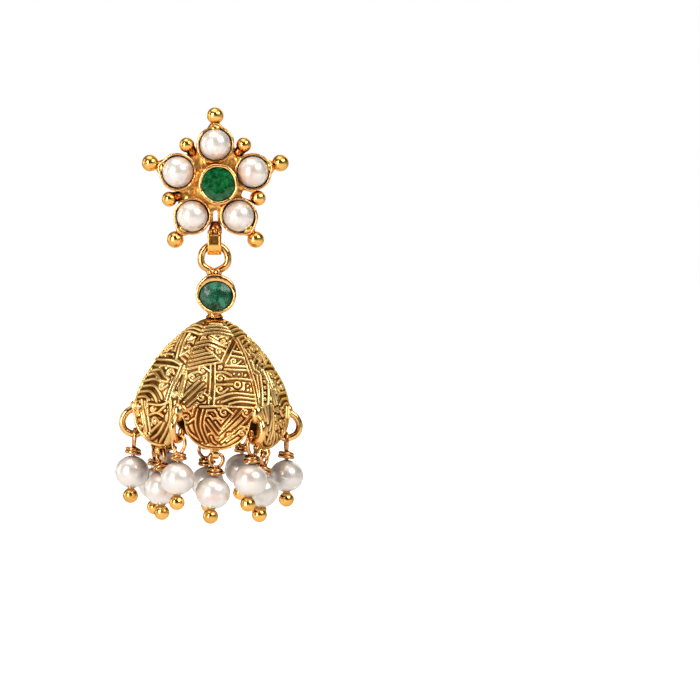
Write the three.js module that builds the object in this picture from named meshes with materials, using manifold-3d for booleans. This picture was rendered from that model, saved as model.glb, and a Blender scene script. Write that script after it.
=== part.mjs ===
// A jhumka earring: a five-pearl star stud, a bezel-set drop and a six-petalled bell with twelve pearls.
// Millimetres, +Z up, front towards -Y. The origin is where the ear post meets the back of the star.
import * as THREE from "three";
import { mergeVertices } from "three/addons/utils/BufferGeometryUtils.js";
import Module from "manifold-3d";

// Star stud.
const STAR_POINTS = 5;
const PLATE_THICKNESS = 0.5;
const PLATE_RADIUS = 5.6;
const PLATE_WAVE = 0.85;
const PEARL_RING_RADIUS = 4.74;
const STAR_PEARL_RADIUS = 1.95;
const PEARL_CUP_RADIUS = 2.3;
const PEARL_CUP_FRONT = -1.8;
const STAR_PEARL_CENTRE_Y = -1.45;
const CUP_FLOOR_Y = -0.75;
const CUP_CLEARANCE = 0.06;
const TIP_BALL_DISTANCE = 8.2;
const TIP_BALL_RADIUS = 1.0;
const VALLEY_BALL_DISTANCE = 5.8;
const LOWEST_BALL_DISTANCE = 5.2;
const VALLEY_BALL_RADIUS = 0.9;
const STAR_BALL_Y = -0.98;
const CUP_BACK_Y = -0.1;
const CUP_LIP_CHAMFER = 0.1;
const TIP_NECK = { outerRadius: 0.4, innerRadius: 0.75, length: 0.9, distance: 7.29, y: STAR_BALL_Y };
const VALLEY_NECK = { outerRadius: 0.4, innerRadius: 0.5, length: 1.0, distance: 4.95, y: -0.6 };
const STAR_SLOTS = [
  { angle: -90, distance: 3.75, width: 0.6, length: 1.5 },
  { angle: -19, distance: 4.0, width: 0.7, length: 1.2 },
];

// Centre stone of the star.
const STAR_STONE_X = 0.35;
const STAR_STONE_RADIUS = 2.0;
const STAR_STONE_CUP_RADIUS = 2.4;
const STAR_STONE_CUP_FRONT = -3.3;
const STAR_STONE_GIRDLE_Y = -3.0;
const STAR_STONE_SEAT_DEPTH = 1.5;
const STAR_STONE_CUT = { depth: 1.35, crown: 0.75, tableShare: 0.55 };

// Ear post, hidden behind the star.
const POST_RADIUS = 0.45;
const POST_LENGTH = 10;
const POST_FOOT_RADIUS = 2.2;
const POST_FOOT_THICKNESS = 0.4;
const POST_NUT_RADIUS = 2.6;
const POST_NUT_Y = [6.2, 8.4];
const POST_NUT_SHOULDER = 0.4;

// Hanging axis: a strap under the star carries the top of the link ring.
const HANG_X = -0.12;
const HANG_Y = -1.25;
const HANG_Z = -7.26;
const STRAP_WIDTH = 1.7;
const STRAP_BEND_RADIUS = 0.84;
const STRAP_THICKNESS = 0.38;
const STRAP_TOP_Z = -5.75;
const STRAP_TOP_BAR = 0.5;
const LINK_WIRE_RADIUS = 0.42;
const LINK_RADIUS = 1.62;
const LINK_FOOT_Z = -10.5;
const LINK_FOOT_HALF_GAP = 0.1;
const LINK_ARC_START = -35;
const LINK_ARC_SWEEP = 250;

// Drop setting between the link ring and the bell.
const DROP_CUP_RADIUS = 2.42;
const DROP_CUP_X = 0.05;
const DROP_CUP_Z = -13.14;
const DROP_CUP_DEPTH = [1.15, -1.45];
const DROP_STONE_HALF_WIDTH = 1.97;
const DROP_STONE_HALF_HEIGHT = 1.72;
const DROP_STONE_SINK = 0.22;
const DROP_STONE_PROUD = 0.15;
const DROP_SEAT_DEPTH = 1.0;
const NECK_RADIUS = 0.9;
const STEM_RADIUS = 0.45;
const STEM_HEAD_RADIUS = 1.0;

// Bell.
const PETALS = 6;
const BELL_TURN = 4.9;
const BELL_LEAN = 2;
const BELL_TOP_Z = -16.0;
const BELL_HOLE_RADIUS = 0.6;
const BELL_WALL = 0.7;
const BELL_FLATNESS = 0.075;
const BELL_RIDGE = [
  [0.6, -16.0],
  [1.6, -16.35],
  [3.3, -17.5],
  [5.76, -19.8],
  [7.27, -21.85],
  [8.64, -24.15],
  [9.45, -26.9],
  [9.45, -28.2],
  [9.1, -29.6],
  [8.4, -30.8],
  [7.75, -31.5],
];
const NOTCH_TOP_Z = -26.95;
const NOTCH_FOOT_Z = -28.2;
const PETAL_TIP_Z = -31.35;
const PETAL_SIDE = 0.82;
const PETAL_COLUMNS = [0, 0.38, 0.64, 0.79, 0.87, 1];
const SHOULDER_ROWS = 7;
const PETAL_ROWS = 3;

// Hooks at the notches and bands at the petal tips.
const HOOK_WIRE_RADIUS = 0.35;
const HOOK_PATH = [
  [9.15, -26.45],
  [10.1, -27.05],
  [10.65, -28.25],
  [10.3, -29.55],
  [9.15, -30.3],
  [8.4, -29.9],
  [8.15, -29.15],
];
const HOOK_FOOT = { radius: 9.15, z: -30.3 };
const BAND_RADIUS = 7.2;
const BAND_Z = -31.82;
const BAND_HOLE_RADIUS = 0.4;
const BAND_OUTER_RADIUS = 0.63;
const BAND_WIDTH = 0.8;
const TIP_LOOP_RISE = 0.38;

// Pearl drops.
const DROP_WIRE_RADIUS = 0.225;
const LOOP_HALF_WIDTH = 0.8;
const LOOP_SQUARENESS = 2.6;
const NOTCH_LOOP_HALF_HEIGHT = 1.1;
const TIP_LOOP_HALF_HEIGHT = 0.8;
const NOTCH_PEARL_Z = -34.82;
const TIP_PEARL_Z = -36.45;
const DROP_PEARL_RADIUS = 2.05;
const DROP_PEARL_HALF_HEIGHT = 1.95;
const PEARL_HOLE_RADIUS = 0.38;
const PIN_RADIUS = 0.25;
const PIN_BALL_RADIUS = 0.92;
const COIL_RADIUS = 0.86;
const PEARL_GAP = 0.05;
const NOTCH_DROP_LEANS = [5.5, 0, 2, 0.5, 4, 2];
const TIP_DROP_LEANS = [6, 5, 0, -3, 2, -1];
const NOTCH_DROP_SLIDES = [-0.16, 0, 0, 0, 0, 0.16];
const TIP_DROP_SLIDES = [0.2, 0, 0, 0, 0, 0];

// How many flat sides stand for each round form.
const PLATE_OUTLINE_POINTS = 40;
const PEARL_CUP_SIDES = 16;
const STONE_CUP_SIDES = 20;
const STAR_BALL_SIDES = 10;
const STAR_BALL_ROWS = 6;
const STAR_PEARL_SIDES = 14;
const STAR_PEARL_ROWS = 6;
const STAR_STONE_SIDES = 10;
const POST_SIDES = 16;
const SMALL_TURNED_SIDES = 8;
const DROP_SEAT_SIDES = 18;
const TURNED_SIDES = 12;
const THICK_WIRE_SIDES = 6;
const THIN_WIRE_SIDES = 5;
const DROP_PEARL_ROWS = 7;

const gold = { color: 0xd9a441, roughness: 0.3, metalness: 1 };
const darkGold = { color: 0xa8743a, roughness: 0.4, metalness: 1 };
const pearl = { color: 0xece6dc, roughness: 0.25, metalness: 0 };
const emerald = { color: 0x0b6a3a, roughness: 0.1, metalness: 0 };

const wasm = await Module();
wasm.setup();

// The closed geometry as a solid with its faces pointing out.
function solidOf(geometry) {
  const bare = geometry.clone();
  bare.deleteAttribute("normal");
  bare.deleteAttribute("uv");
  const merged = mergeVertices(bare, 1e-4);
  const corners = new Uint32Array(merged.index.array);
  const build = () =>
    new wasm.Manifold(
      new wasm.Mesh({
        numProp: 3,
        vertProperties: merged.attributes.position.array,
        triVerts: corners,
      }),
    );
  const solid = build();
  if (solid.volume() > 0) return solid;
  for (let i = 0; i < corners.length; i += 3) {
    [corners[i + 1], corners[i + 2]] = [corners[i + 2], corners[i + 1]];
  }
  return build();
}

function geometryOf(solid) {
  const mesh = solid.getMesh();
  const geometry = new THREE.BufferGeometry();
  geometry.setAttribute("position", new THREE.BufferAttribute(new Float32Array(mesh.vertProperties), 3));
  geometry.setIndex(new THREE.BufferAttribute(new Uint32Array(mesh.triVerts), 1));
  geometry.computeVertexNormals();
  return geometry;
}

// One solid from several geometries that touch, less those cut away.
function join(parts, cuts = []) {
  const whole = parts.map(solidOf).reduce((a, b) => a.add(b));
  return geometryOf(cuts.map(solidOf).reduce((a, b) => a.subtract(b), whole));
}

// A closed profile of [radius, height] pairs turned about the Y axis.
function turned(profile, sides) {
  const points = profile.map(([radius, height]) => new THREE.Vector2(radius, height));
  return new THREE.LatheGeometry(points, sides);
}

function turnedUpright(profile, sides) {
  return turned(profile, sides).rotateX(Math.PI / 2);
}

function ball(radius, sides, rows) {
  return new THREE.SphereGeometry(radius, sides, rows);
}

// A wire of round section along a path through [x, y, z] points.
function wire(points, radius, sides, steps, closed = false) {
  const path = new THREE.CatmullRomCurve3(
    points.map((p) => new THREE.Vector3(...p)),
    closed,
  );
  const section = new THREE.Shape();
  for (let k = 0; k < sides; k += 1) {
    const angle = (2 * Math.PI * k) / sides;
    const move = k === 0 ? "moveTo" : "lineTo";
    section[move](radius * Math.cos(angle), radius * Math.sin(angle));
  }
  return new THREE.ExtrudeGeometry(section, { steps, extrudePath: path, bevelEnabled: false });
}

// A point at a distance and a clockwise angle from straight up, seen from the front.
function onStar(distance, degrees) {
  const angle = THREE.MathUtils.degToRad(degrees);
  return [distance * Math.sin(angle), distance * Math.cos(angle)];
}

// The plate's outline reaches out behind each pearl and draws in between them.
function starPlate() {
  const outline = new THREE.Shape();
  for (let k = 0; k < PLATE_OUTLINE_POINTS; k += 1) {
    const degrees = (360 * k) / PLATE_OUTLINE_POINTS;
    const wave = PLATE_WAVE * Math.cos(THREE.MathUtils.degToRad(STAR_POINTS * degrees));
    const [x, z] = onStar(PLATE_RADIUS + wave, degrees);
    if (k === 0) outline.moveTo(x, z);
    else outline.lineTo(x, z);
  }
  // Extruded along +Z, then turned so that the plate's back is at y = 0.
  return new THREE.ExtrudeGeometry(outline, { depth: PLATE_THICKNESS, bevelEnabled: false }).rotateX(Math.PI / 2);
}

function starSlots() {
  return STAR_SLOTS.map(({ angle, distance, width, length }) => {
    const turn = THREE.MathUtils.degToRad(angle);
    return new THREE.BoxGeometry(length, 4 * PLATE_THICKNESS, width)
      .rotateY(-turn)
      .translate(distance * Math.cos(turn), 0, distance * Math.sin(turn));
  });
}

// An open cup about the Y axis, its mouth towards the front.
function cup(outer, inner, back, floor, front, sides) {
  return turned(
    [
      [0, back],
      [outer, back],
      [outer, front + CUP_LIP_CHAMFER],
      [outer - CUP_LIP_CHAMFER, front],
      [inner, front],
      [inner, floor],
      [0, floor],
    ],
    sides,
  );
}

// The short neck between a ball and the star, narrower outwards.
function ballNeck({ outerRadius, innerRadius, length, distance, y }, degrees) {
  const [x, z] = onStar(distance, degrees);
  return new THREE.CylinderGeometry(outerRadius, innerRadius, length, SMALL_TURNED_SIDES)
    .rotateX(Math.PI / 2)
    .rotateY(THREE.MathUtils.degToRad(degrees))
    .translate(x, y, z);
}

function starSetting() {
  const parts = [starPlate()];
  const cupWall = STAR_PEARL_RADIUS + CUP_CLEARANCE;
  for (let k = 0; k < STAR_POINTS; k += 1) {
    const tip = (360 * k) / STAR_POINTS;
    const valley = tip + 180 / STAR_POINTS;
    const [cupX, cupZ] = onStar(PEARL_RING_RADIUS, tip);
    parts.push(
      cup(PEARL_CUP_RADIUS, cupWall, CUP_BACK_Y, CUP_FLOOR_Y, PEARL_CUP_FRONT, PEARL_CUP_SIDES).translate(cupX, 0, cupZ),
    );
    const [tipX, tipZ] = onStar(TIP_BALL_DISTANCE, tip);
    parts.push(ball(TIP_BALL_RADIUS, STAR_BALL_SIDES, STAR_BALL_ROWS).translate(tipX, STAR_BALL_Y, tipZ));
    parts.push(ballNeck(TIP_NECK, tip));
    parts.push(ballNeck(VALLEY_NECK, valley));
    const isLowest = Math.abs(valley - 180) < 1;
    const distance = isLowest ? LOWEST_BALL_DISTANCE : VALLEY_BALL_DISTANCE;
    const [valleyX, valleyZ] = onStar(distance, valley);
    parts.push(ball(VALLEY_BALL_RADIUS, STAR_BALL_SIDES, STAR_BALL_ROWS).translate(valleyX, STAR_BALL_Y, valleyZ));
  }
  parts.push(
    cup(
      STAR_STONE_CUP_RADIUS,
      STAR_STONE_RADIUS + CUP_CLEARANCE,
      CUP_BACK_Y,
      STAR_STONE_GIRDLE_Y + STAR_STONE_SEAT_DEPTH,
      STAR_STONE_CUP_FRONT,
      STONE_CUP_SIDES,
    ).translate(STAR_STONE_X, 0, 0),
  );
  parts.push(strap());
  return join(parts, starSlots());
}

// The flat band under the star, bent to a U that the link ring's top passes through.
function strap() {
  const outer = STRAP_BEND_RADIUS + STRAP_THICKNESS;
  const rise = STRAP_TOP_Z - HANG_Z;
  const band = new THREE.Shape();
  band.moveTo(-outer, rise);
  band.lineTo(-outer, 0);
  band.absarc(0, 0, outer, Math.PI, 2 * Math.PI);
  band.lineTo(outer, rise);
  band.closePath();
  const window = new THREE.Path();
  window.moveTo(STRAP_BEND_RADIUS, rise - STRAP_TOP_BAR);
  window.lineTo(STRAP_BEND_RADIUS, 0);
  window.absarc(0, 0, STRAP_BEND_RADIUS, 0, -Math.PI, true);
  window.lineTo(-STRAP_BEND_RADIUS, rise - STRAP_TOP_BAR);
  window.closePath();
  band.holes.push(window);
  // The shape's x becomes y and its y becomes z.
  return new THREE.ExtrudeGeometry(band, { depth: STRAP_WIDTH, curveSegments: 7, bevelEnabled: false })
    .rotateY(Math.PI / 2)
    .rotateX(Math.PI / 2)
    .translate(HANG_X - STRAP_WIDTH / 2, HANG_Y, HANG_Z);
}

// A half-round pearl, flat at the back, its dome towards the front.
function starPearl() {
  const back = CUP_FLOOR_Y - PEARL_GAP;
  const start = Math.acos((back - STAR_PEARL_CENTRE_Y) / STAR_PEARL_RADIUS);
  const profile = [[0, back]];
  for (let k = 0; k <= STAR_PEARL_ROWS; k += 1) {
    const angle = start + ((Math.PI - start) * k) / STAR_PEARL_ROWS;
    const radius = k === STAR_PEARL_ROWS ? 0 : STAR_PEARL_RADIUS * Math.sin(angle);
    profile.push([radius, STAR_PEARL_CENTRE_Y + STAR_PEARL_RADIUS * Math.cos(angle)]);
  }
  return geometryOf(solidOf(turned(profile, STAR_PEARL_SIDES)));
}

// A round cut stone: pavilion, girdle, crown and a flat table towards the front.
function cutStone(radius, depth, crown, tableShare, sides) {
  return turned(
    [
      [0, depth],
      [radius, 0.12],
      [radius, -0.08],
      [radius * tableShare, -crown],
      [0, -crown],
    ],
    sides,
  );
}

function starStone() {
  const { depth, crown, tableShare } = STAR_STONE_CUT;
  const stone = cutStone(STAR_STONE_RADIUS, depth, crown, tableShare, STAR_STONE_SIDES);
  return geometryOf(solidOf(stone.translate(STAR_STONE_X, STAR_STONE_GIRDLE_Y, 0)));
}

function earPost() {
  const [nutBack, nutFront] = POST_NUT_Y;
  return geometryOf(
    solidOf(
      turned(
        [
          [0, 0],
          [POST_FOOT_RADIUS, 0],
          [POST_FOOT_RADIUS, POST_FOOT_THICKNESS],
          [POST_RADIUS, POST_FOOT_THICKNESS],
          [POST_RADIUS, nutBack],
          [POST_NUT_RADIUS, nutBack + POST_NUT_SHOULDER],
          [POST_NUT_RADIUS, nutFront - POST_NUT_SHOULDER],
          [POST_RADIUS, nutFront],
          [POST_RADIUS, POST_LENGTH],
          [0, POST_LENGTH],
        ],
        POST_SIDES,
      ),
    ),
  );
}

// The link ring is round at the top and draws in to a point soldered on the drop's cup.
function linkRing() {
  const points = [];
  const count = 9;
  for (let k = 0; k < count; k += 1) {
    const angle = THREE.MathUtils.degToRad(LINK_ARC_START + (LINK_ARC_SWEEP * k) / (count - 1));
    const rise = LINK_RADIUS * Math.sin(angle) - LINK_RADIUS;
    points.push([HANG_X + LINK_RADIUS * Math.cos(angle), HANG_Y, HANG_Z + rise]);
  }
  points.push([HANG_X - LINK_FOOT_HALF_GAP, HANG_Y, LINK_FOOT_Z]);
  points.push([HANG_X + LINK_FOOT_HALF_GAP, HANG_Y, LINK_FOOT_Z]);
  return wire(points, LINK_WIRE_RADIUS, THICK_WIRE_SIDES, 26, true);
}

function dropSetting() {
  const [back, front] = DROP_CUP_DEPTH;
  // The cup's own hole only starts the seat, which is cut out below as an oval.
  const shell = cup(DROP_CUP_RADIUS, 0.4, back, front + 1.2, front, STONE_CUP_SIDES);
  shell.translate(DROP_CUP_X, HANG_Y, DROP_CUP_Z);
  const seat = turned(
    [
      [0, DROP_SEAT_DEPTH],
      [1, DROP_SEAT_DEPTH],
      [1, -DROP_SEAT_DEPTH],
      [0, -DROP_SEAT_DEPTH],
    ],
    DROP_SEAT_SIDES,
  )
    .scale(DROP_STONE_HALF_WIDTH + CUP_CLEARANCE, 1, DROP_STONE_HALF_HEIGHT + CUP_CLEARANCE)
    .translate(DROP_CUP_X, HANG_Y + front, DROP_CUP_Z - DROP_STONE_SINK);
  const neckTop = DROP_CUP_Z - DROP_CUP_RADIUS + 0.25;
  const neck = turnedUpright(
    [
      [0, neckTop],
      [NECK_RADIUS, neckTop],
      [NECK_RADIUS * 0.8, BELL_TOP_Z + 0.35],
      [NECK_RADIUS * 1.2, BELL_TOP_Z + 0.06],
      [STEM_RADIUS, BELL_TOP_Z + 0.06],
      [STEM_RADIUS, BELL_TOP_Z - BELL_WALL - 0.35],
      [STEM_HEAD_RADIUS, BELL_TOP_Z - BELL_WALL - 0.45],
      [STEM_HEAD_RADIUS * 0.7, BELL_TOP_Z - BELL_WALL - 0.85],
      [0, BELL_TOP_Z - BELL_WALL - 0.9],
    ],
    TURNED_SIDES,
  ).translate(HANG_X, HANG_Y, 0);
  return join([linkRing(), shell, neck], [seat]);
}

function dropStone() {
  const front = HANG_Y + DROP_CUP_DEPTH[1];
  return geometryOf(
    solidOf(
      turned(
        [
          [0, 0.75],
          [0.9, 0.75],
          [1, 0.3],
          [1, -0.1],
          [0.82, -0.45],
          [0.5, -0.7],
          [0, -0.72],
        ],
        TURNED_SIDES,
      )
        .scale(DROP_STONE_HALF_WIDTH, 1, DROP_STONE_HALF_HEIGHT)
        .translate(DROP_CUP_X, front + DROP_STONE_PROUD, DROP_CUP_Z - DROP_STONE_SINK),
    ),
  );
}

// The bell's ridge outline as a smooth curve from the apex to the tip.
const ridgeCurve = new THREE.SplineCurve(BELL_RIDGE.map(([radius, z]) => new THREE.Vector2(radius, z)));
const RIDGE_SAMPLES = 400;
const ridgePoints = ridgeCurve.getPoints(RIDGE_SAMPLES);

// The ridge radius at a height, read between the curve's points.
function ridgeRadius(z) {
  for (let k = 1; k <= RIDGE_SAMPLES; k += 1) {
    const above = ridgePoints[k - 1];
    const below = ridgePoints[k];
    if (z >= below.y) {
      const share = (above.y - z) / (above.y - below.y);
      return above.x + (below.x - above.x) * THREE.MathUtils.clamp(share, 0, 1);
    }
  }
  return ridgePoints[RIDGE_SAMPLES].x;
}

// How far a petal reaches down, from its middle (0) to the notch beside it (1).
function edgeHeight(share) {
  if (share <= PETAL_SIDE) {
    const round = Math.sqrt(1 - Math.min(1, (share / PETAL_SIDE) ** 2.6));
    return NOTCH_FOOT_Z + (PETAL_TIP_Z - NOTCH_FOOT_Z) * round;
  }
  const across = (1 - share) / (1 - PETAL_SIDE);
  return NOTCH_FOOT_Z + (NOTCH_TOP_Z - NOTCH_FOOT_Z) * Math.sqrt(1 - across * across);
}

// Between the ridges the bell's wall is flatter, more so lower down.
function bellRadius(z, share) {
  const depth = THREE.MathUtils.clamp((BELL_TOP_Z - z) / (BELL_TOP_Z - NOTCH_TOP_Z), 0, 1);
  return ridgeRadius(z) * (1 - BELL_FLATNESS * depth * (1 - share * share));
}

// Heights of one column of the wall: even steps down to the shoulder, then to the petal's edge.
function columnHeights(share) {
  const shoulder = NOTCH_TOP_Z + 0.8;
  const heights = [];
  for (let k = 0; k < SHOULDER_ROWS; k += 1) {
    const along = (k / SHOULDER_ROWS) ** 1.35;
    heights.push(BELL_TOP_Z + (shoulder - BELL_TOP_Z) * along);
  }
  for (let k = 0; k <= PETAL_ROWS; k += 1) {
    heights.push(shoulder + ((edgeHeight(share) - shoulder) * k) / PETAL_ROWS);
  }
  return heights;
}

// The wall's normal in the plane of one column, for the inner face.
function wallOffset(z, share) {
  const step = 0.05;
  const rise = Math.min(BELL_TOP_Z, z + step);
  const fall = z - step;
  const run = bellRadius(rise, share) - bellRadius(fall, share);
  const drop = rise - fall;
  const length = Math.hypot(run, drop);
  return [-(drop / length) * BELL_WALL, (run / length) * BELL_WALL];
}

function bellShell() {
  const columns = [];
  for (let petal = 0; petal < PETALS; petal += 1) {
    const shares = PETAL_COLUMNS.map((s) => -s)
      .reverse()
      .concat(PETAL_COLUMNS.slice(1, -1));
    shares.forEach((share) => columns.push({ angle: ((petal + share / 2) * 360) / PETALS, share: Math.abs(share) }));
  }
  const positions = [];
  const rows = SHOULDER_ROWS + PETAL_ROWS + 1;
  columns.forEach(({ angle, share }) => {
    const turn = THREE.MathUtils.degToRad(angle);
    const outer = columnHeights(share).map((z) => [bellRadius(z, share), z]);
    const inner = outer.map(([radius, z], row) => {
      if (row === 0) return [radius, z - BELL_WALL];
      const [inward, down] = wallOffset(z, share);
      const isEdge = row === rows - 1;
      return [Math.max(BELL_HOLE_RADIUS, radius + inward), isEdge ? z : z - Math.abs(down)];
    });
    [...outer, ...inner.reverse()].forEach(([radius, z]) =>
      positions.push(radius * Math.sin(turn), -radius * Math.cos(turn), z),
    );
  });
  const ring = 2 * rows;
  const index = [];
  columns.forEach((_, column) => {
    const next = (column + 1) % columns.length;
    for (let k = 0; k < ring; k += 1) {
      const a = column * ring + k;
      const b = column * ring + ((k + 1) % ring);
      const c = next * ring + ((k + 1) % ring);
      const d = next * ring + k;
      index.push(a, b, c, a, c, d);
    }
  });
  const geometry = new THREE.BufferGeometry();
  geometry.setAttribute("position", new THREE.Float32BufferAttribute(positions, 3));
  geometry.setIndex(index);
  return geometry;
}

// A point on the bell at a radius, an angle from the front towards +X, and a height.
function aroundBell(radius, degrees, z) {
  const angle = THREE.MathUtils.degToRad(degrees);
  return [radius * Math.sin(angle), -radius * Math.cos(angle), z];
}

// The C-shaped wire at a notch, which carries one pearl drop.
function hook(degrees) {
  const points = HOOK_PATH.map(([radius, z]) => aroundBell(radius, degrees, z));
  return wire(points, HOOK_WIRE_RADIUS, THICK_WIRE_SIDES, 10);
}

// The band under a petal tip: a short tube whose bore runs along the petal's edge.
function tipBand(degrees) {
  const ring = new THREE.Shape().absarc(0, 0, BAND_OUTER_RADIUS, 0, 2 * Math.PI);
  ring.holes.push(new THREE.Path().absarc(0, 0, BAND_HOLE_RADIUS, 0, 2 * Math.PI, true));
  return new THREE.ExtrudeGeometry(ring, { depth: BAND_WIDTH, curveSegments: 6, bevelEnabled: false })
    .translate(0, 0, -BAND_WIDTH / 2)
    .rotateY(Math.PI / 2)
    .translate(0, -BAND_RADIUS, BAND_Z)
    .rotateZ(THREE.MathUtils.degToRad(degrees));
}

const notchAngles = Array.from({ length: PETALS }, (_, k) => ((k + 0.5) * 360) / PETALS);
const tipAngles = Array.from({ length: PETALS }, (_, k) => (k * 360) / PETALS);

function bellDome() {
  return join([bellShell(), ...notchAngles.map(hook), ...tipAngles.map(tipBand)]);
}

// A drilled pearl about the Z axis, its centre at the origin.
function drilledPearl() {
  const start = Math.asin(PEARL_HOLE_RADIUS / DROP_PEARL_RADIUS);
  const profile = [];
  for (let k = 0; k <= DROP_PEARL_ROWS; k += 1) {
    const angle = start + ((Math.PI - 2 * start) * k) / DROP_PEARL_ROWS;
    profile.push([DROP_PEARL_RADIUS * Math.sin(angle), DROP_PEARL_HALF_HEIGHT * Math.cos(angle)]);
  }
  profile.push(profile[0]);
  return geometryOf(solidOf(turnedUpright(profile, TURNED_SIDES)));
}

// A head pin about the Z axis: ball, pin through the pearl, two turns of wire and an oval loop above.
function headPin(loopHalfHeight, loopTop, pearlCentre) {
  const ballCentre = pearlCentre - DROP_PEARL_HALF_HEIGHT - PIN_BALL_RADIUS + 0.03;
  const coilFoot = pearlCentre + DROP_PEARL_HALF_HEIGHT + PEARL_GAP;
  const coilTop = loopTop - 2 * loopHalfHeight + DROP_WIRE_RADIUS / 2;
  const turn = (coilTop - coilFoot) / 2;
  const profile = [[0, ballCentre - PIN_BALL_RADIUS]];
  [-50, -15, 20, 50].forEach((degrees) => {
    const angle = THREE.MathUtils.degToRad(degrees);
    profile.push([PIN_BALL_RADIUS * Math.cos(angle), ballCentre + PIN_BALL_RADIUS * Math.sin(angle)]);
  });
  profile.push([PIN_RADIUS, ballCentre + PIN_BALL_RADIUS - 0.04]);
  profile.push([PIN_RADIUS, coilFoot]);
  [0.5, 1.5].forEach((share) => {
    profile.push([COIL_RADIUS * 0.8, coilFoot + turn * (share - 0.42)]);
    profile.push([COIL_RADIUS, coilFoot + turn * share]);
    profile.push([COIL_RADIUS * 0.8, coilFoot + turn * (share + 0.42)]);
  });
  profile.push([0, coilTop]);
  const points = [];
  const count = 12;
  for (let k = 0; k < count; k += 1) {
    const angle = (2 * Math.PI * k) / count;
    const across = Math.sign(Math.cos(angle)) * Math.abs(Math.cos(angle)) ** (2 / LOOP_SQUARENESS);
    const rise = Math.sign(Math.sin(angle)) * Math.abs(Math.sin(angle)) ** (2 / LOOP_SQUARENESS);
    points.push([LOOP_HALF_WIDTH * across, 0, loopTop + loopHalfHeight * (rise - 1)]);
  }
  return join([turnedUpright(profile, SMALL_TURNED_SIDES), wire(points, DROP_WIRE_RADIUS, THIN_WIRE_SIDES, 15, true)]);
}

function addMesh(parent, name, geometry, look) {
  const mesh = new THREE.Mesh(geometry, new THREE.MeshStandardMaterial(look));
  mesh.name = name;
  parent.add(mesh);
  return mesh;
}

// A pearl drop hangs from its hook or band, leans a little about it and may sit to one side of it.
function addDrop(parent, name, place, leanDegrees, sizes) {
  const bellAngle = THREE.MathUtils.degToRad(BELL_TURN + place.degrees);
  const hang = new THREE.Vector3(...aroundBell(place.radius, BELL_TURN + place.degrees, place.z - BELL_TOP_Z));
  hang.x += place.slide * Math.cos(bellAngle);
  hang.y += place.slide * Math.sin(bellAngle);
  hang.applyAxisAngle(new THREE.Vector3(0, 1, 0), THREE.MathUtils.degToRad(BELL_LEAN));
  const drop = new THREE.Group();
  drop.position.set(HANG_X + hang.x, HANG_Y + hang.y, BELL_TOP_Z + hang.z);
  drop.rotation.set(0, THREE.MathUtils.degToRad(leanDegrees), 0);
  parent.add(drop);
  const pin = addMesh(drop, name + "_headpin", headPin(sizes.loopHalfHeight, sizes.loopTop, sizes.pearl), darkGold);
  pin.rotation.z = bellAngle;
  const bead = addMesh(drop, name + "_pearl", drilledPearl(), pearl);
  bead.position.z = sizes.pearl;
}

const group = new THREE.Group();
addMesh(group, "star_setting", starSetting(), gold);
for (let k = 0; k < STAR_POINTS; k += 1) {
  const [x, z] = onStar(PEARL_RING_RADIUS, (360 * k) / STAR_POINTS);
  addMesh(group, "star_pearl_" + (k + 1), starPearl(), pearl).position.set(x, 0, z);
}
addMesh(group, "star_emerald", starStone(), emerald);
addMesh(group, "ear_post", earPost(), gold);
addMesh(group, "drop_setting", dropSetting(), gold);
addMesh(group, "drop_emerald", dropStone(), emerald);

const bell = new THREE.Group();
bell.position.set(HANG_X, HANG_Y, BELL_TOP_Z);
bell.rotation.set(0, THREE.MathUtils.degToRad(BELL_LEAN), 0);
group.add(bell);
const dome = addMesh(bell, "bell_dome", bellDome(), gold);
dome.position.z = -BELL_TOP_Z;
dome.rotation.z = THREE.MathUtils.degToRad(BELL_TURN);

const notchLoopTop = HOOK_WIRE_RADIUS + DROP_WIRE_RADIUS + PEARL_GAP;
const tipLoopTop = TIP_LOOP_RISE - BAND_HOLE_RADIUS;
notchAngles.forEach((degrees, k) => {
  const place = { radius: HOOK_FOOT.radius, degrees, z: HOOK_FOOT.z, slide: NOTCH_DROP_SLIDES[k] };
  addDrop(group, "notch_drop_" + (k + 1), place, NOTCH_DROP_LEANS[k], {
    loopHalfHeight: NOTCH_LOOP_HALF_HEIGHT,
    loopTop: notchLoopTop,
    pearl: NOTCH_PEARL_Z - HOOK_FOOT.z,
  });
});
tipAngles.forEach((degrees, k) => {
  const place = { radius: BAND_RADIUS, degrees, z: BAND_Z, slide: TIP_DROP_SLIDES[k] };
  addDrop(group, "tip_drop_" + (k + 1), place, TIP_DROP_LEANS[k], {
    loopHalfHeight: TIP_LOOP_HALF_HEIGHT,
    loopTop: tipLoopTop,
    pearl: TIP_PEARL_Z - BAND_Z,
  });
});

export default group;
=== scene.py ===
import math

import bmesh
import bpy
import numpy as np
from bpy.props import FloatProperty, FloatVectorProperty, IntProperty, PointerProperty
from bpy.types import Operator, Panel, PropertyGroup
from mathutils import Matrix, Vector


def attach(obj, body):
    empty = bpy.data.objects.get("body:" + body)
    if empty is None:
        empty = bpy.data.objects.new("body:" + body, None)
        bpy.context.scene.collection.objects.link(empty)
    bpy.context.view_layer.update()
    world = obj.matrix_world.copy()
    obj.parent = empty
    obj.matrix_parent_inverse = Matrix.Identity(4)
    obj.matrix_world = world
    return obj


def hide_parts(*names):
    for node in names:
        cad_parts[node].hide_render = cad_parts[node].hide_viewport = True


bl_info = {
    "name": "Jhumka earring",
    "version": (1, 0, 0),
    "blender": (4, 5, 0),
    "location": "3D Viewport > Sidebar > Jhumka",
    "description": "A pearl star stud, a bezel-set drop and an engraved petalled bell with pearl drops",
    "category": "Object",
}

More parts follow.
